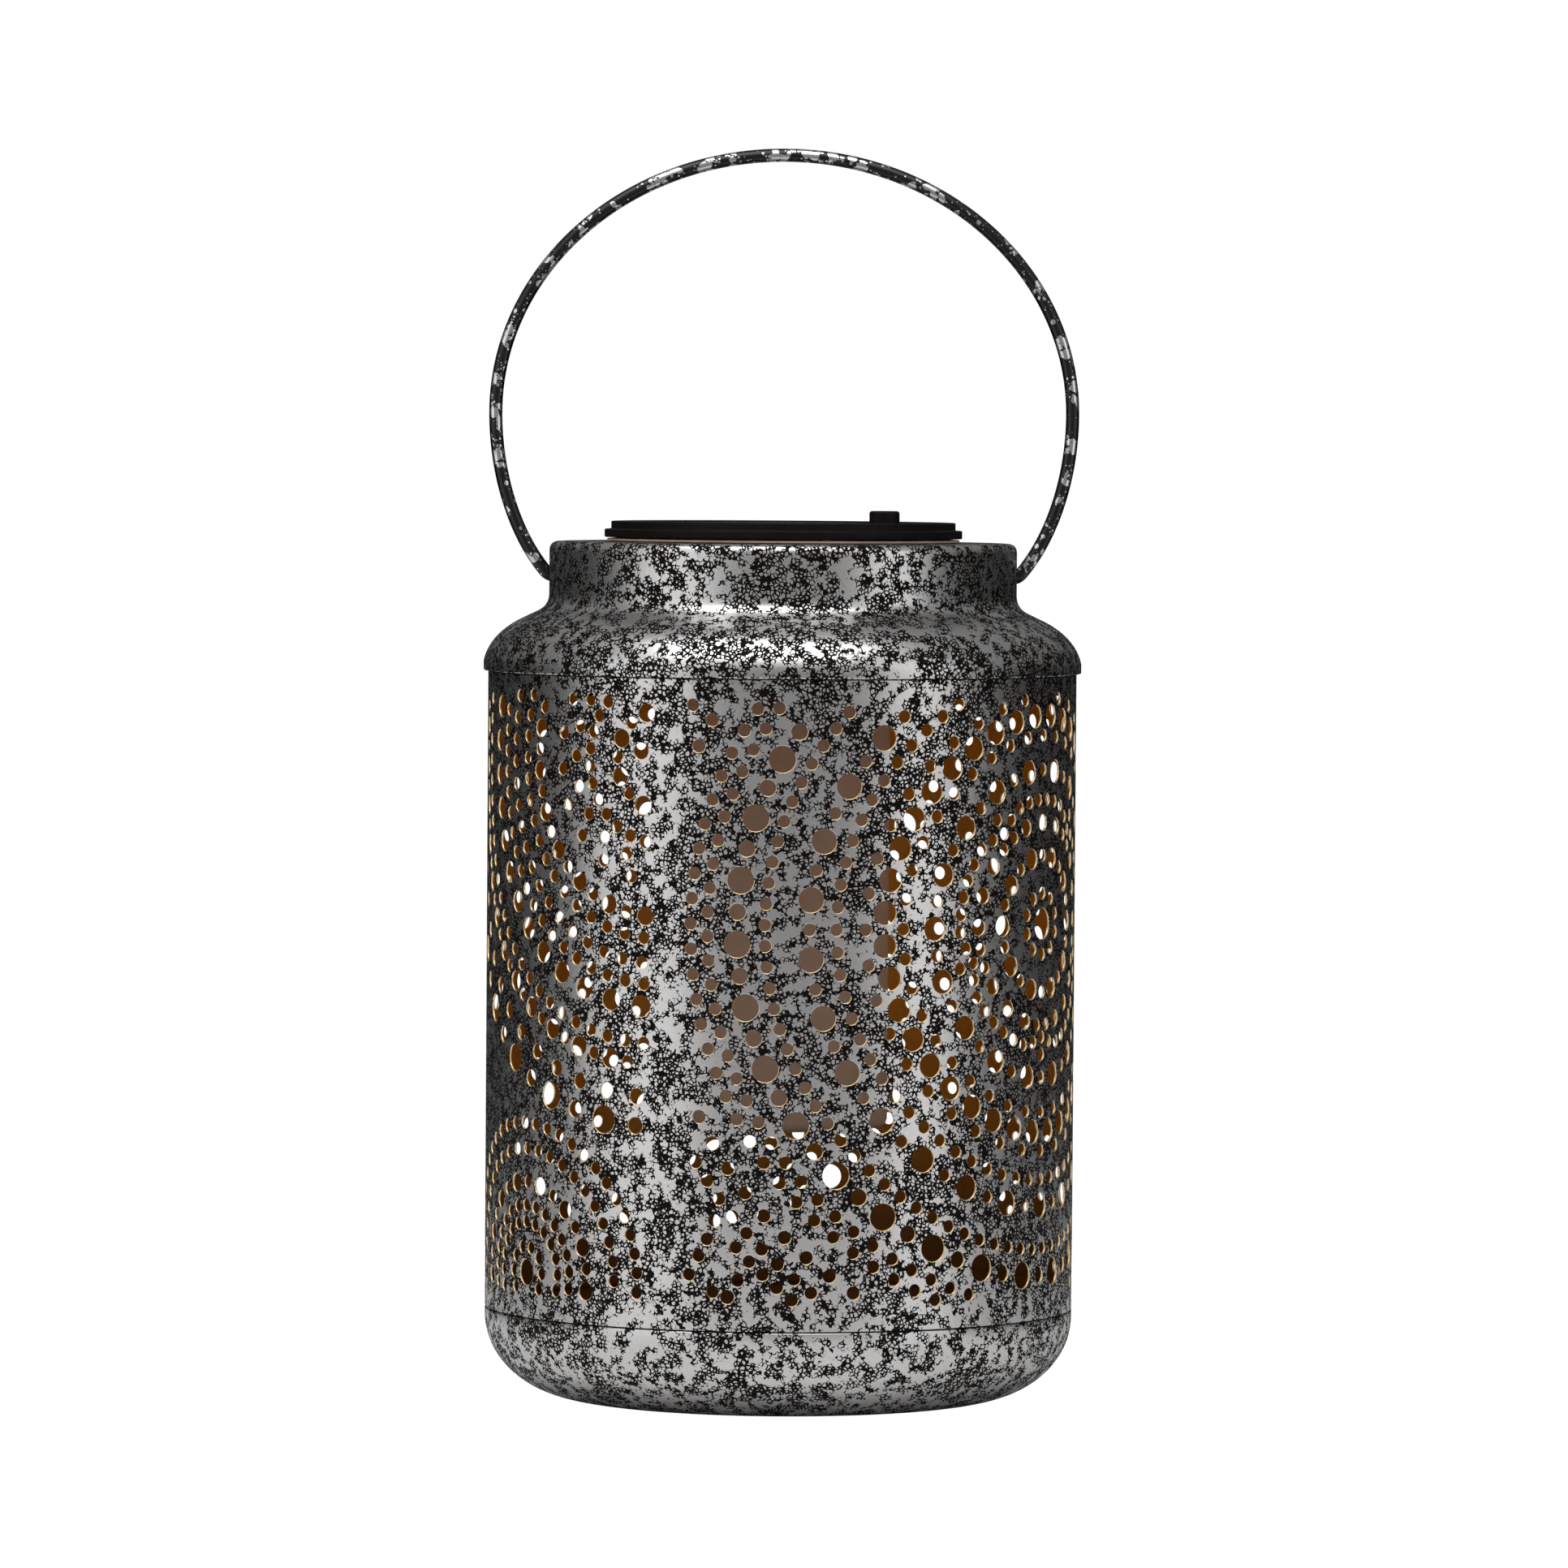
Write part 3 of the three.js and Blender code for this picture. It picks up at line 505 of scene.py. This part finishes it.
def bail_path():
    """The bail's centreline from one tail to the other, as (across, height) points."""
    roundness = 0.5523  # handle length of a cubic that follows a quarter ellipse
    crown = BAIL_RISE - WAIST_RISE
    bend_handle = (BAIL_BEND + 1.4 * MM, 0)
    knee = (BAIL_BEND + 2.3 * MM, 1.07 * MM)
    knee_handle = (BAIL_BEND + 10 * MM, 10.2 * MM)
    waist_handle = (WAIST_REACH, WAIST_RISE - 16 * MM)
    waist = (WAIST_REACH, WAIST_RISE)
    steps = 6
    half = [Vector((BAIL_TAIL + (BAIL_BEND - BAIL_TAIL) * i / steps, 0)) for i in range(steps + 1)]
    half += quadratic((BAIL_BEND, 0), bend_handle, knee, steps)
    half += cubic(knee, knee_handle, waist_handle, waist, 32)
    half += cubic(
        waist, (WAIST_REACH, WAIST_RISE + roundness * crown),
        (WAIST_REACH * roundness, BAIL_RISE), (0, BAIL_RISE), 64
    )
    other = [Vector((-point.x, point.y)) for point in half[-2::-1]]
    return [Vector((p.x, 0, PIVOT_HEIGHT + p.y)) for p in half + other]


def bail_handle():
    """Round wire with each tail hammered flat inside the neck."""
    path = bail_path()
    sides = 24
    form = bmesh.new()
    rings = []
    for i, here in enumerate(path):
        along = (path[min(i + 1, len(path) - 1)] - path[max(i - 1, 0)]).normalized()
        out = Vector((0, 1, 0)).cross(along)
        flat = min(max((BAIL_TAIL + PADDLE_REACH - abs(here.x)) / PADDLE_BLEND, 0), 1)
        flat = 0 if here.z > PIVOT_HEIGHT + MM else flat * flat * (3 - 2 * flat)
        tall = WIRE_RADIUS + (PADDLE_HALF_WIDTH - WIRE_RADIUS) * flat
        deep = WIRE_RADIUS + (PADDLE_HALF_THICKNESS - WIRE_RADIUS) * flat
        angles = [2 * math.pi * k / sides for k in range(sides)]
        rings.append([
            form.verts.new(here + out * tall * math.cos(a) + Vector((0, 1, 0)) * deep * math.sin(a))
            for a in angles
        ])
    for lower, upper in zip(rings, rings[1:]):
        for k in range(sides):
            n = (k + 1) % sides
            form.faces.new((lower[k], lower[n], upper[n], upper[k]))
    form.faces.new(rings[0])
    form.faces.new(rings[-1])
    bmesh.ops.recalc_face_normals(form, faces=form.faces)
    return piece_from("bail_handle", form)


def diffuser():
    """Moulded cup and closed tube, with the cup's rim on the lid."""
    inner = TUBE_RADIUS - DIFFUSER_WALL
    outer_face = rounded([
        (0, TUBE_LOW), (TUBE_RADIUS, TUBE_LOW), (TUBE_RADIUS, CUP_STEP - DIFFUSER_WALL),
        (CUP_RADIUS, CUP_STEP - DIFFUSER_WALL), (CUP_RADIUS, RIM_LOW), (RIM_RADIUS, RIM_LOW),
    ], DIFFUSER_ROUND_OUTSIDE, 6)
    cup_inner = CUP_RADIUS - DIFFUSER_WALL
    inner_line = rounded([
        (RIM_RADIUS, RIM_HIGH), (cup_inner, RIM_HIGH), (cup_inner, CUP_STEP), (inner, CUP_STEP),
        (inner, TUBE_LOW + DIFFUSER_WALL), (0, TUBE_LOW + DIFFUSER_WALL),
    ], DIFFUSER_ROUND_INSIDE, 6)
    return turned("light_diffuser", outer_face + inner_line, sides=128)


# ---------------------------------------------------------------- solar head pieces
def head_cover():
    """The head's moulded cover: flange, step, square panel recess and button hole."""
    face = rounded([
        (0, COVER_LOW), (FLANGE_RADIUS, COVER_LOW), (FLANGE_RADIUS, FLANGE_HIGH),
        (STEP_RADIUS, FLANGE_HIGH), (STEP_RADIUS, COVER_HIGH), (0, COVER_HIGH),
    ], COVER_ROUND)
    cover = turned("solar_cover", face)
    recess_height = COVER_HIGH - PANEL_FLOOR
    recess = block(
        (PANEL_SIDE, PANEL_SIDE, 2 * recess_height), (0, 0, PANEL_FLOOR + recess_height), HEAD_TURN
    )
    x, y = BUTTON_CENTRE.x, BUTTON_CENTRE.y
    through = rod(BUTTON_RADIUS + GAP, (x, y, COVER_LOW - MM), (x, y, COVER_HIGH + MM))
    return cut(cover, [recess, through])


def push_button():
    """The button: a collar below the cover and a cap with a rounded edge."""
    low, high = BUTTON_LOW.z, BUTTON_HIGH.z
    crown = rounded([
        (BUTTON_RADIUS, BUTTON_COLLAR_HIGH), (BUTTON_RADIUS, high), (0, high),
    ], BUTTON_ROUND, 8)
    section = [
        Vector((0, low)), Vector((BUTTON_COLLAR_RADIUS, low)),
        Vector((BUTTON_COLLAR_RADIUS, BUTTON_COLLAR_HIGH)), *crown,
    ]
    return turned("power_button", section, (BUTTON_CENTRE.x, BUTTON_CENTRE.y), 64)


# ---------------------------------------------------------------- material helpers
class Shader:
    """A material's node tree: add() makes a node with its settings and its inputs set or linked."""

    def __init__(self, name):
        self.material = bpy.data.materials.new(name)
        self.material.use_nodes = True
        self.tree = self.material.node_tree
        self.surface = self.tree.nodes["Principled BSDF"]

    def put(self, node, inputs):
        for key, value in inputs.items():
            if isinstance(value, bpy.types.NodeSocket):
                self.tree.links.new(value, node.inputs[key])
            else:
                node.inputs[key].default_value = value

    def add(self, kind, inputs=None, **settings):
        node = self.tree.nodes.new("ShaderNode" + kind)
        for key, value in settings.items():
            setattr(node, key, value)
        self.put(node, inputs or {})
        return node

    def math(self, operation, a, b=0.0):
        return self.add("Math", {0: a, 1: b}, operation=operation).outputs[0]

    def millimetres(self, turn=0.0):
        """The piece's own coordinates in millimetres, turned about the lantern's axis."""
        place = self.add("TexCoord").outputs["Object"]
        scale = (1 / MM,) * 3
        return self.add("Mapping", {"Vector": place, "Scale": scale, "Rotation": (0, 0, turn)}).outputs[0]

    def noise(self, place, size, detail=2.0, roughness=0.5):
        """Noise whose features are about size millimetres across."""
        inputs = {"Vector": place, "Scale": 1 / size, "Detail": detail, "Roughness": roughness}
        return self.add("TexNoise", inputs)

    def ramp(self, value, low, high, start=0.0, end=1.0, smooth=True):
        kind = "SMOOTHSTEP" if smooth else "LINEAR"
        inputs = {"Value": value, "From Min": low, "From Max": high, "To Min": start, "To Max": end}
        return self.add("MapRange", inputs, interpolation_type=kind).outputs[0]

    def mix(self, share, first, second):
        node = self.add("Mix", data_type="RGBA")
        self.put(node, {0: share, 6: first, 7: second})
        return node.outputs[2]

    def bump(self, height, distance, strength=1.0):
        inputs = {"Height": height, "Distance": distance, "Strength": strength}
        self.put(self.surface, {"Normal": self.add("Bump", inputs).outputs[0]})

    def finish(self, **inputs):
        self.put(self.surface, {key.replace("_", " "): value for key, value in inputs.items()})
        return self.material


def mottled_steel(name, cover, silver, dark):
    """Satin silver under a black crackle coat: a net of thin lines round small cells, with open patches.

    cover is how far the coat spreads, from about -0.1, hardly any, to 0.1, nearly closed."""
    shader = Shader(name)
    place = shader.millimetres()
    wander = shader.noise(place, 0.9, 2, 0.6).outputs["Color"]
    centred = shader.add("VectorMath", {0: wander, 1: (0.5, 0.5, 0.5)}, operation="SUBTRACT").outputs[0]
    shifted = shader.add("VectorMath", {0: centred, "Scale": 0.5}, operation="SCALE").outputs[0]
    bent = shader.add("VectorMath", {0: place, 1: shifted}, operation="ADD").outputs[0]
    patches = shader.noise(bent, 3.1, 2.5, 0.6).outputs[0]
    drift = shader.ramp(shader.noise(place, 17, 1).outputs[0], 0.3, 0.7, cover - 0.04, cover + 0.045)
    axes = shader.add("SeparateXYZ", {0: place}).outputs
    thinner = shader.ramp(axes["Z"], 18, 60, -0.026, 0)
    # Painted shade: the coat is made heavier, so darker, towards the jar's left and right sides, which turn
    # away from the front.
    painted_side_shade = shader.ramp(shader.math("ABSOLUTE", axes["X"]), 45, 74, 0, 0.04)
    coat_by_height_and_side_shade = shader.math("ADD", thinner, painted_side_shade)
    spread = shader.math("ADD", shader.math("ADD", patches, drift), coat_by_height_and_side_shade)
    coat = shader.ramp(spread, 0.42, 0.5, smooth=False)
    heavy = shader.ramp(spread, 0.52, 0.64, 0, 0.09, smooth=False)
    cell_scale = {"Vector": bent, "Scale": 1.0}
    edge = shader.add("TexVoronoi", cell_scale, feature="DISTANCE_TO_EDGE").outputs["Distance"]
    centre = shader.add("TexVoronoi", cell_scale).outputs["Distance"]
    width = shader.math("ADD", shader.ramp(coat, 0, 1, -0.08, 0.135, smooth=False), heavy)
    reach = shader.ramp(coat, 0, 1, 1.3, 0.7, smooth=False)
    past_line = shader.math("SUBTRACT", edge, width)
    near_centre = shader.math("SUBTRACT", reach, centre)
    inside = shader.math("MINIMUM", past_line, near_centre)
    bare = shader.ramp(inside, -0.02, 0.035)
    grain = shader.noise(place, 0.3, 2).outputs[0]
    shade = shader.noise(place, 8, 2).outputs[0]
    duller = [c * 0.84 for c in silver[:3]] + [1]
    warmer = [c * w for c, w in zip(silver, (0.92, 0.89, 0.86, 1))]
    light = shader.mix(shader.ramp(grain, 0.3, 0.7), silver, duller)
    light = shader.mix(shader.ramp(shade, 0.35, 0.65, 0, 0.5), light, warmer)
    shader.bump(shader.math("ADD", bare, shader.math("MULTIPLY", grain, 0.25)), 0.03 * MM, 0.4)
    return shader.finish(
        Base_Color=shader.mix(bare, dark, light),
        Metallic=bare,
        Roughness=shader.ramp(bare, 0, 1, 0.6, SILVER_ROUGHNESS),
        IOR=1.15,
    )


def speckled_wire(name, silver, dark):
    """Black coated wire with round silver specks and a few longer worn stretches."""
    shader = Shader(name)
    place = shader.millimetres()
    worn = shader.ramp(shader.noise(place, 7, 2.5, 0.6).outputs[0], 0.5, 0.68, -0.12, 0.75, smooth=False)

    def specks(size, least, most):
        cell = shader.add("TexVoronoi", {"Vector": place, "Scale": 1 / size})
        chance = shader.add("SeparateColor", {0: cell.outputs["Color"]}).outputs[0]
        reach = shader.math("ADD", shader.ramp(chance, 0, 1, least, most), worn)
        return shader.ramp(shader.math("SUBTRACT", reach, cell.outputs["Distance"]), -0.03, 0.06)

    bare = shader.math("MAXIMUM", specks(1.9, -0.35, 0.5), specks(0.8, -0.4, 0.42))
    shader.bump(bare, 0.03 * MM, 0.4)
    return shader.finish(
        Base_Color=shader.mix(bare, dark, silver),
        Metallic=bare,
        Roughness=shader.ramp(bare, 0, 1, 0.32, 0.26),
        Specular_IOR_Level=0.4,
    )


def coloured(name, colour, second, size, roughness, spread=0.08, metallic=0.0, grain=0.0, detail=3.0):
    """A surface whose colour and roughness wander a little, with an optional fine grain."""
    shader = Shader(name)
    place = shader.millimetres()
    wander = shader.noise(place, size, detail).outputs[0]
    fine = shader.noise(place, 0.22, 2).outputs[0]
    if grain:
        shader.bump(fine, grain * MM, 0.6)
    return shader.finish(
        Base_Color=shader.mix(shader.ramp(wander, 0.3, 0.7), colour, second),
        Roughness=shader.ramp(fine, 0.3, 0.7, roughness - spread, roughness + spread),
        Metallic=metallic,
    )


def gold_lacquer():
    """The sheet's amber lacquered inside, darkened towards the base with painted shade."""
    shader = Shader("inside_gold")
    place = shader.millimetres()
    height = shader.add("SeparateXYZ", {0: place}).outputs["Z"]
    wander = shader.noise(place, 12, 3).outputs[0]
    amber = shader.mix(shader.ramp(wander, 0.3, 0.7), (0.85, 0.37, 0.012, 1), (0.72, 0.31, 0.01, 1))
    fine = shader.noise(place, 0.22, 2).outputs[0]
    return shader.finish(
        # Painted shade: the amber is mixed to dark brown from 85 mm down to 25 mm, where less light reaches
        # inside the jar.
        Base_Color=shader.mix(shader.ramp(height, 25, 85), (0.2, 0.09, 0.008, 1), amber),
        Roughness=shader.ramp(fine, 0.3, 0.7, 0.42, 0.58),
    )


def solar_silicon():
    """Dark blue crystals under thin silver fingers and two bus bars."""
    shader = Shader("solar_silicon")
    place = shader.millimetres(-HEAD_TURN)
    axes = shader.add("SeparateXYZ", {0: place}).outputs
    crystal = shader.add("TexVoronoi", {"Vector": place, "Scale": 0.22}).outputs["Color"]
    facet = shader.add("SeparateColor", {0: crystal}).outputs[0]
    blue = shader.mix(facet, (0.006, 0.012, 0.045, 1), (0.015, 0.035, 0.11, 1))
    finger = shader.math("PINGPONG", axes[0], 1.0)
    fingers = shader.ramp(finger, 0.0, 0.12, 1, 0)
    bus = shader.math("PINGPONG", shader.math("ADD", axes[1], 13.0), 13.0)
    bars = shader.ramp(bus, 0.5, 0.7, 1, 0)
    lines = shader.math("MAXIMUM", fingers, bars)
    return shader.finish(
        Base_Color=shader.mix(lines, blue, (0.62, 0.62, 0.6, 1)),
        Metallic=shader.ramp(lines, 0, 1, 0.1, 0.8),
        Roughness=shader.ramp(lines, 0, 1, 0.3, 0.42),
    )


def clear_resin(name, colour, roughness):
    shader = Shader(name)
    fine = shader.noise(shader.millimetres(), 1.4, 2).outputs[0]
    shader.surface.inputs["IOR"].default_value = 1.5
    shader.bump(fine, 0.02 * MM, 0.3)
    return shader.finish(
        Base_Color=colour,
        Transmission_Weight=1.0,
        Roughness=shader.ramp(fine, 0.3, 0.7, roughness, roughness + 0.05),
    )


def frosted_plastic():
    """Milky diffuser plastic that lets light into itself."""
    shader = Shader("frosted_plastic")
    place = shader.millimetres()
    fine = shader.noise(place, 0.3, 2).outputs[0]
    cloud = shader.noise(place, 14, 2).outputs[0]
    shader.bump(fine, 0.03 * MM, 0.4)
    return shader.finish(
        Base_Color=shader.mix(cloud, (0.6, 0.455, 0.34, 1), (0.68, 0.52, 0.39, 1)),
        Roughness=shader.ramp(fine, 0.3, 0.7, 0.5, 0.62),
        Transmission_Weight=0.12,
    )


def green_board():
    shader = Shader("green_board")
    place = shader.millimetres()
    cells = shader.add("TexVoronoi", {"Vector": place, "Scale": 0.4}, distance="MANHATTAN")
    lines = shader.ramp(shader.math("PINGPONG", cells.outputs["Distance"], 0.22), 0.03, 0.06)
    return shader.finish(
        Base_Color=shader.mix(lines, (0.03, 0.16, 0.07, 1), (0.015, 0.1, 0.04, 1)),
        Roughness=shader.ramp(lines, 0, 1, 0.3, 0.42),
    )


# ---------------------------------------------------------------- camera, light and floor
CAMERA_DISTANCE = 2.38
CAMERA_HEIGHT = 0.2438
CAMERA_SIDE = 0.0006
CAMERA_PITCH = math.radians(-2.1)
CAMERA_ROLL = math.radians(0.4)
FIELD_OF_VIEW = math.radians(9.604)


def make_camera():
    camera = bpy.data.objects.new("camera", bpy.data.cameras.new("camera"))
    bpy.context.scene.collection.objects.link(camera)
    camera.data.sensor_width = 36
    camera.data.lens = 18 / math.tan(FIELD_OF_VIEW / 2)
    camera.data.clip_start = 0.1
    camera.data.clip_end = 100
    place = Matrix.Translation((CAMERA_SIDE, -CAMERA_DISTANCE, CAMERA_HEIGHT))
    aim = Matrix.Rotation(math.pi / 2 + CAMERA_PITCH, 4, "X") @ Matrix.Rotation(CAMERA_ROLL, 4, "Z")
    camera.matrix_world = place @ aim
    bpy.context.scene.camera = camera


def softbox(name, azimuth, elevation, distance, width, height, power, target=(0, 0, 0.13)):
    """A rectangular light that faces the lantern; azimuth is from the front towards +X."""
    turn, rise = math.radians(azimuth), math.radians(elevation)
    away = Vector((math.sin(turn) * math.cos(rise), -math.cos(turn) * math.cos(rise), math.sin(rise)))
    lamp = bpy.data.lights.new(name, "AREA")
    lamp.shape = "RECTANGLE"
    lamp.size = width
    lamp.size_y = height
    lamp.energy = power
    light = bpy.data.objects.new(name, lamp)
    light.visible_camera = False
    bpy.context.scene.collection.objects.link(light)
    place = Vector(target) + away * distance
    light.matrix_world = Matrix.Translation(place) @ away.to_track_quat("Z", "Y").to_matrix().to_4x4()


BACKDROP = 1.05  # strength of the surroundings that the camera sees
FRONT_GLOW = 0.27  # strength from the front, for everything but the camera
SKY_GLOW = 0.25  # strength added from above


def studio():
    """White surroundings, dim for everything but the camera, with soft light from both sides and above."""
    softbox("left_softbox", azimuth=-55, elevation=8, distance=1.3, width=1.05, height=1.5, power=4.9)
    softbox("right_softbox", azimuth=55, elevation=8, distance=1.3, width=0.65, height=1.5, power=3.4)
    softbox("top_softbox", azimuth=-15, elevation=66, distance=1.5, width=1.6, height=1.1, power=19)
    world = bpy.data.worlds.new("studio")
    bpy.context.scene.world = world
    world.use_nodes = True
    tree = world.node_tree
    room = tree.nodes["Background"]
    room.inputs["Color"].default_value = (1, 1, 1, 1)
    backdrop = tree.nodes.new("ShaderNodeBackground")
    backdrop.inputs["Color"].default_value = (1, 1, 1, 1)
    backdrop.inputs["Strength"].default_value = BACKDROP
    direction = tree.nodes.new("ShaderNodeTexCoord")
    axes = tree.nodes.new("ShaderNodeSeparateXYZ")
    depth = tree.nodes.new("ShaderNodeMapRange")
    for key, value in {"From Min": -1, "From Max": 0.3, "To Min": FRONT_GLOW, "To Max": 0.0}.items():
        depth.inputs[key].default_value = value
    rise = tree.nodes.new("ShaderNodeMapRange")
    for key, value in {"From Min": 0.0, "From Max": 0.6, "To Min": 0.0, "To Max": SKY_GLOW}.items():
        rise.inputs[key].default_value = value
    total = tree.nodes.new("ShaderNodeMath")
    rays = tree.nodes.new("ShaderNodeLightPath")
    pick = tree.nodes.new("ShaderNodeMixShader")
    for start, end in (
        (direction.outputs["Generated"], axes.inputs[0]),
        (axes.outputs["Y"], depth.inputs["Value"]),
        (axes.outputs["Z"], rise.inputs["Value"]),
        (depth.outputs[0], total.inputs[0]),
        (rise.outputs[0], total.inputs[1]),
        (total.outputs[0], room.inputs["Strength"]),
        (rays.outputs["Is Camera Ray"], pick.inputs[0]),
        (room.outputs[0], pick.inputs[1]),
        (backdrop.outputs[0], pick.inputs[2]),
        (pick.outputs[0], tree.nodes["World Output"].inputs["Surface"]),
    ):
        tree.links.new(start, end)
    bpy.context.scene.view_settings.view_transform = "Standard"


FLOOR_RADIUS = 0.45
FLOOR_GAP = 0.05 * MM  # keeps the table top clear of the base


def make_floor():
    """A pale round table top under the lantern."""
    form = bmesh.new()
    bmesh.ops.create_circle(form, cap_ends=True, segments=96, radius=FLOOR_RADIUS)
    floor = piece_from("floor", form)
    floor.location.z = BASE_LOW - FLOOR_GAP
    shader = Shader("white_table")
    fine = shader.noise(shader.millimetres(), 40, 2).outputs[0]
    seen = shader.add("LightPath").outputs["Is Camera Ray"]
    shader.surface.inputs["Emission Color"].default_value = (1, 1, 1, 1)
    floor.data.materials.append(shader.finish(
        Base_Color=shader.mix(fine, (0.9, 0.9, 0.9, 1), (0.92, 0.92, 0.92, 1)),
        Roughness=0.9, Emission_Strength=seen,
    ))


# ---------------------------------------------------------------- assembly
def show(piece, body, slot, materials, *replaced):
    """Gives a piece its materials and its body, and hides the CAD nodes that it stands for; slot is not
    used.
    """
    for material in materials:
        piece.data.materials.append(material)
    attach(piece, body)
    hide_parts(*replaced)


SILVER = (0.61, 0.602, 0.6, 1)
SILVER_ROUGHNESS = 0.34
BLACK = (0.0035, 0.0025, 0.0018, 1)
jar_steel = mottled_steel("mottled_steel", 0.022, SILVER, BLACK)
bail_steel = speckled_wire("bail_steel", SILVER, BLACK)
inside_gold = gold_lacquer()
# The bright finish of the holes' cut edges, also used as a painted highlight on the lower right of each
# hole's rolled edge.
cut_edge_and_highlight = coloured("cut_edge_and_highlight", (0.85, 0.66, 0.4, 1), (0.7, 0.5, 0.25, 1), 3, 0.4, 0.06, metallic=0.8)
diffuser_plastic = frosted_plastic()
black_plastic = coloured(
    "black_plastic", (0.0045, 0.003, 0.0026, 1), (0.006, 0.0045, 0.004, 1), 4, 0.55, 0.06, grain=0.02
)
black_plastic.node_tree.nodes["Principled BSDF"].inputs["IOR"].default_value = 1.2

make_camera()
show(perforated_shell(), "jar", "mottled_steel", [jar_steel, inside_gold, cut_edge_and_highlight], "perforated_shell")
show(jar_base(), "jar", "mottled_steel", [jar_steel, inside_gold], "base_pan")
show(jar_lid(), "jar", "mottled_steel", [jar_steel, inside_gold], "lid_cap")
show(diffuser(), "jar", "diffuser_plastic", [diffuser_plastic], "diffuser_tube")
show(bail_handle(), "bail", "bail_steel", [bail_steel], "bail_wire")
show(head_cover(), "solar_head", "black_plastic", [black_plastic], "head_cover")
show(push_button(), "push_button", "black_plastic", [black_plastic], "button_cap")

metal = coloured("nickel_plate", (0.6, 0.58, 0.54, 1), (0.52, 0.5, 0.47, 1), 1.5, 0.28, 0.06, metallic=1.0)
FINISHES = {
    "solar_cell": solar_silicon(),
    "panel_window": clear_resin("clear_resin", (0.98, 0.99, 1, 1), 0.12),
    "led_lamp": clear_resin("lamp_resin", (1, 0.93, 0.78, 1), 0.12),
    "circuit_board": green_board(),
    "rechargeable_cell": coloured("cell_wrap", (0.05, 0.27, 0.1, 1), (0.06, 0.32, 0.12, 1), 5, 0.28, 0.04),
    "lead_plus": coloured("red_lead", (0.35, 0.02, 0.012, 1), (0.42, 0.03, 0.018, 1), 2, 0.4),
    "lead_minus": coloured("black_lead", (0.02, 0.02, 0.02, 1), (0.03, 0.03, 0.03, 1), 2, 0.4),
    "housing": black_plastic,
    "battery_door": black_plastic,
    "control_chip": coloured("moulded_epoxy", (0.03, 0.03, 0.03, 1), (0.045, 0.045, 0.045, 1), 1, 0.55),
}
FINISHES["charge_inductor"] = FINISHES["switch_body"] = FINISHES["control_chip"]
for name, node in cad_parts.items():
    if node.hide_render:
        continue
    finish = next((made for part, made in FINISHES.items() if part in name and "screw" not in name), metal)
    node.data.materials.clear()
    node.data.materials.append(finish)

studio()
make_floor()

bpy.context.view_layer.update()
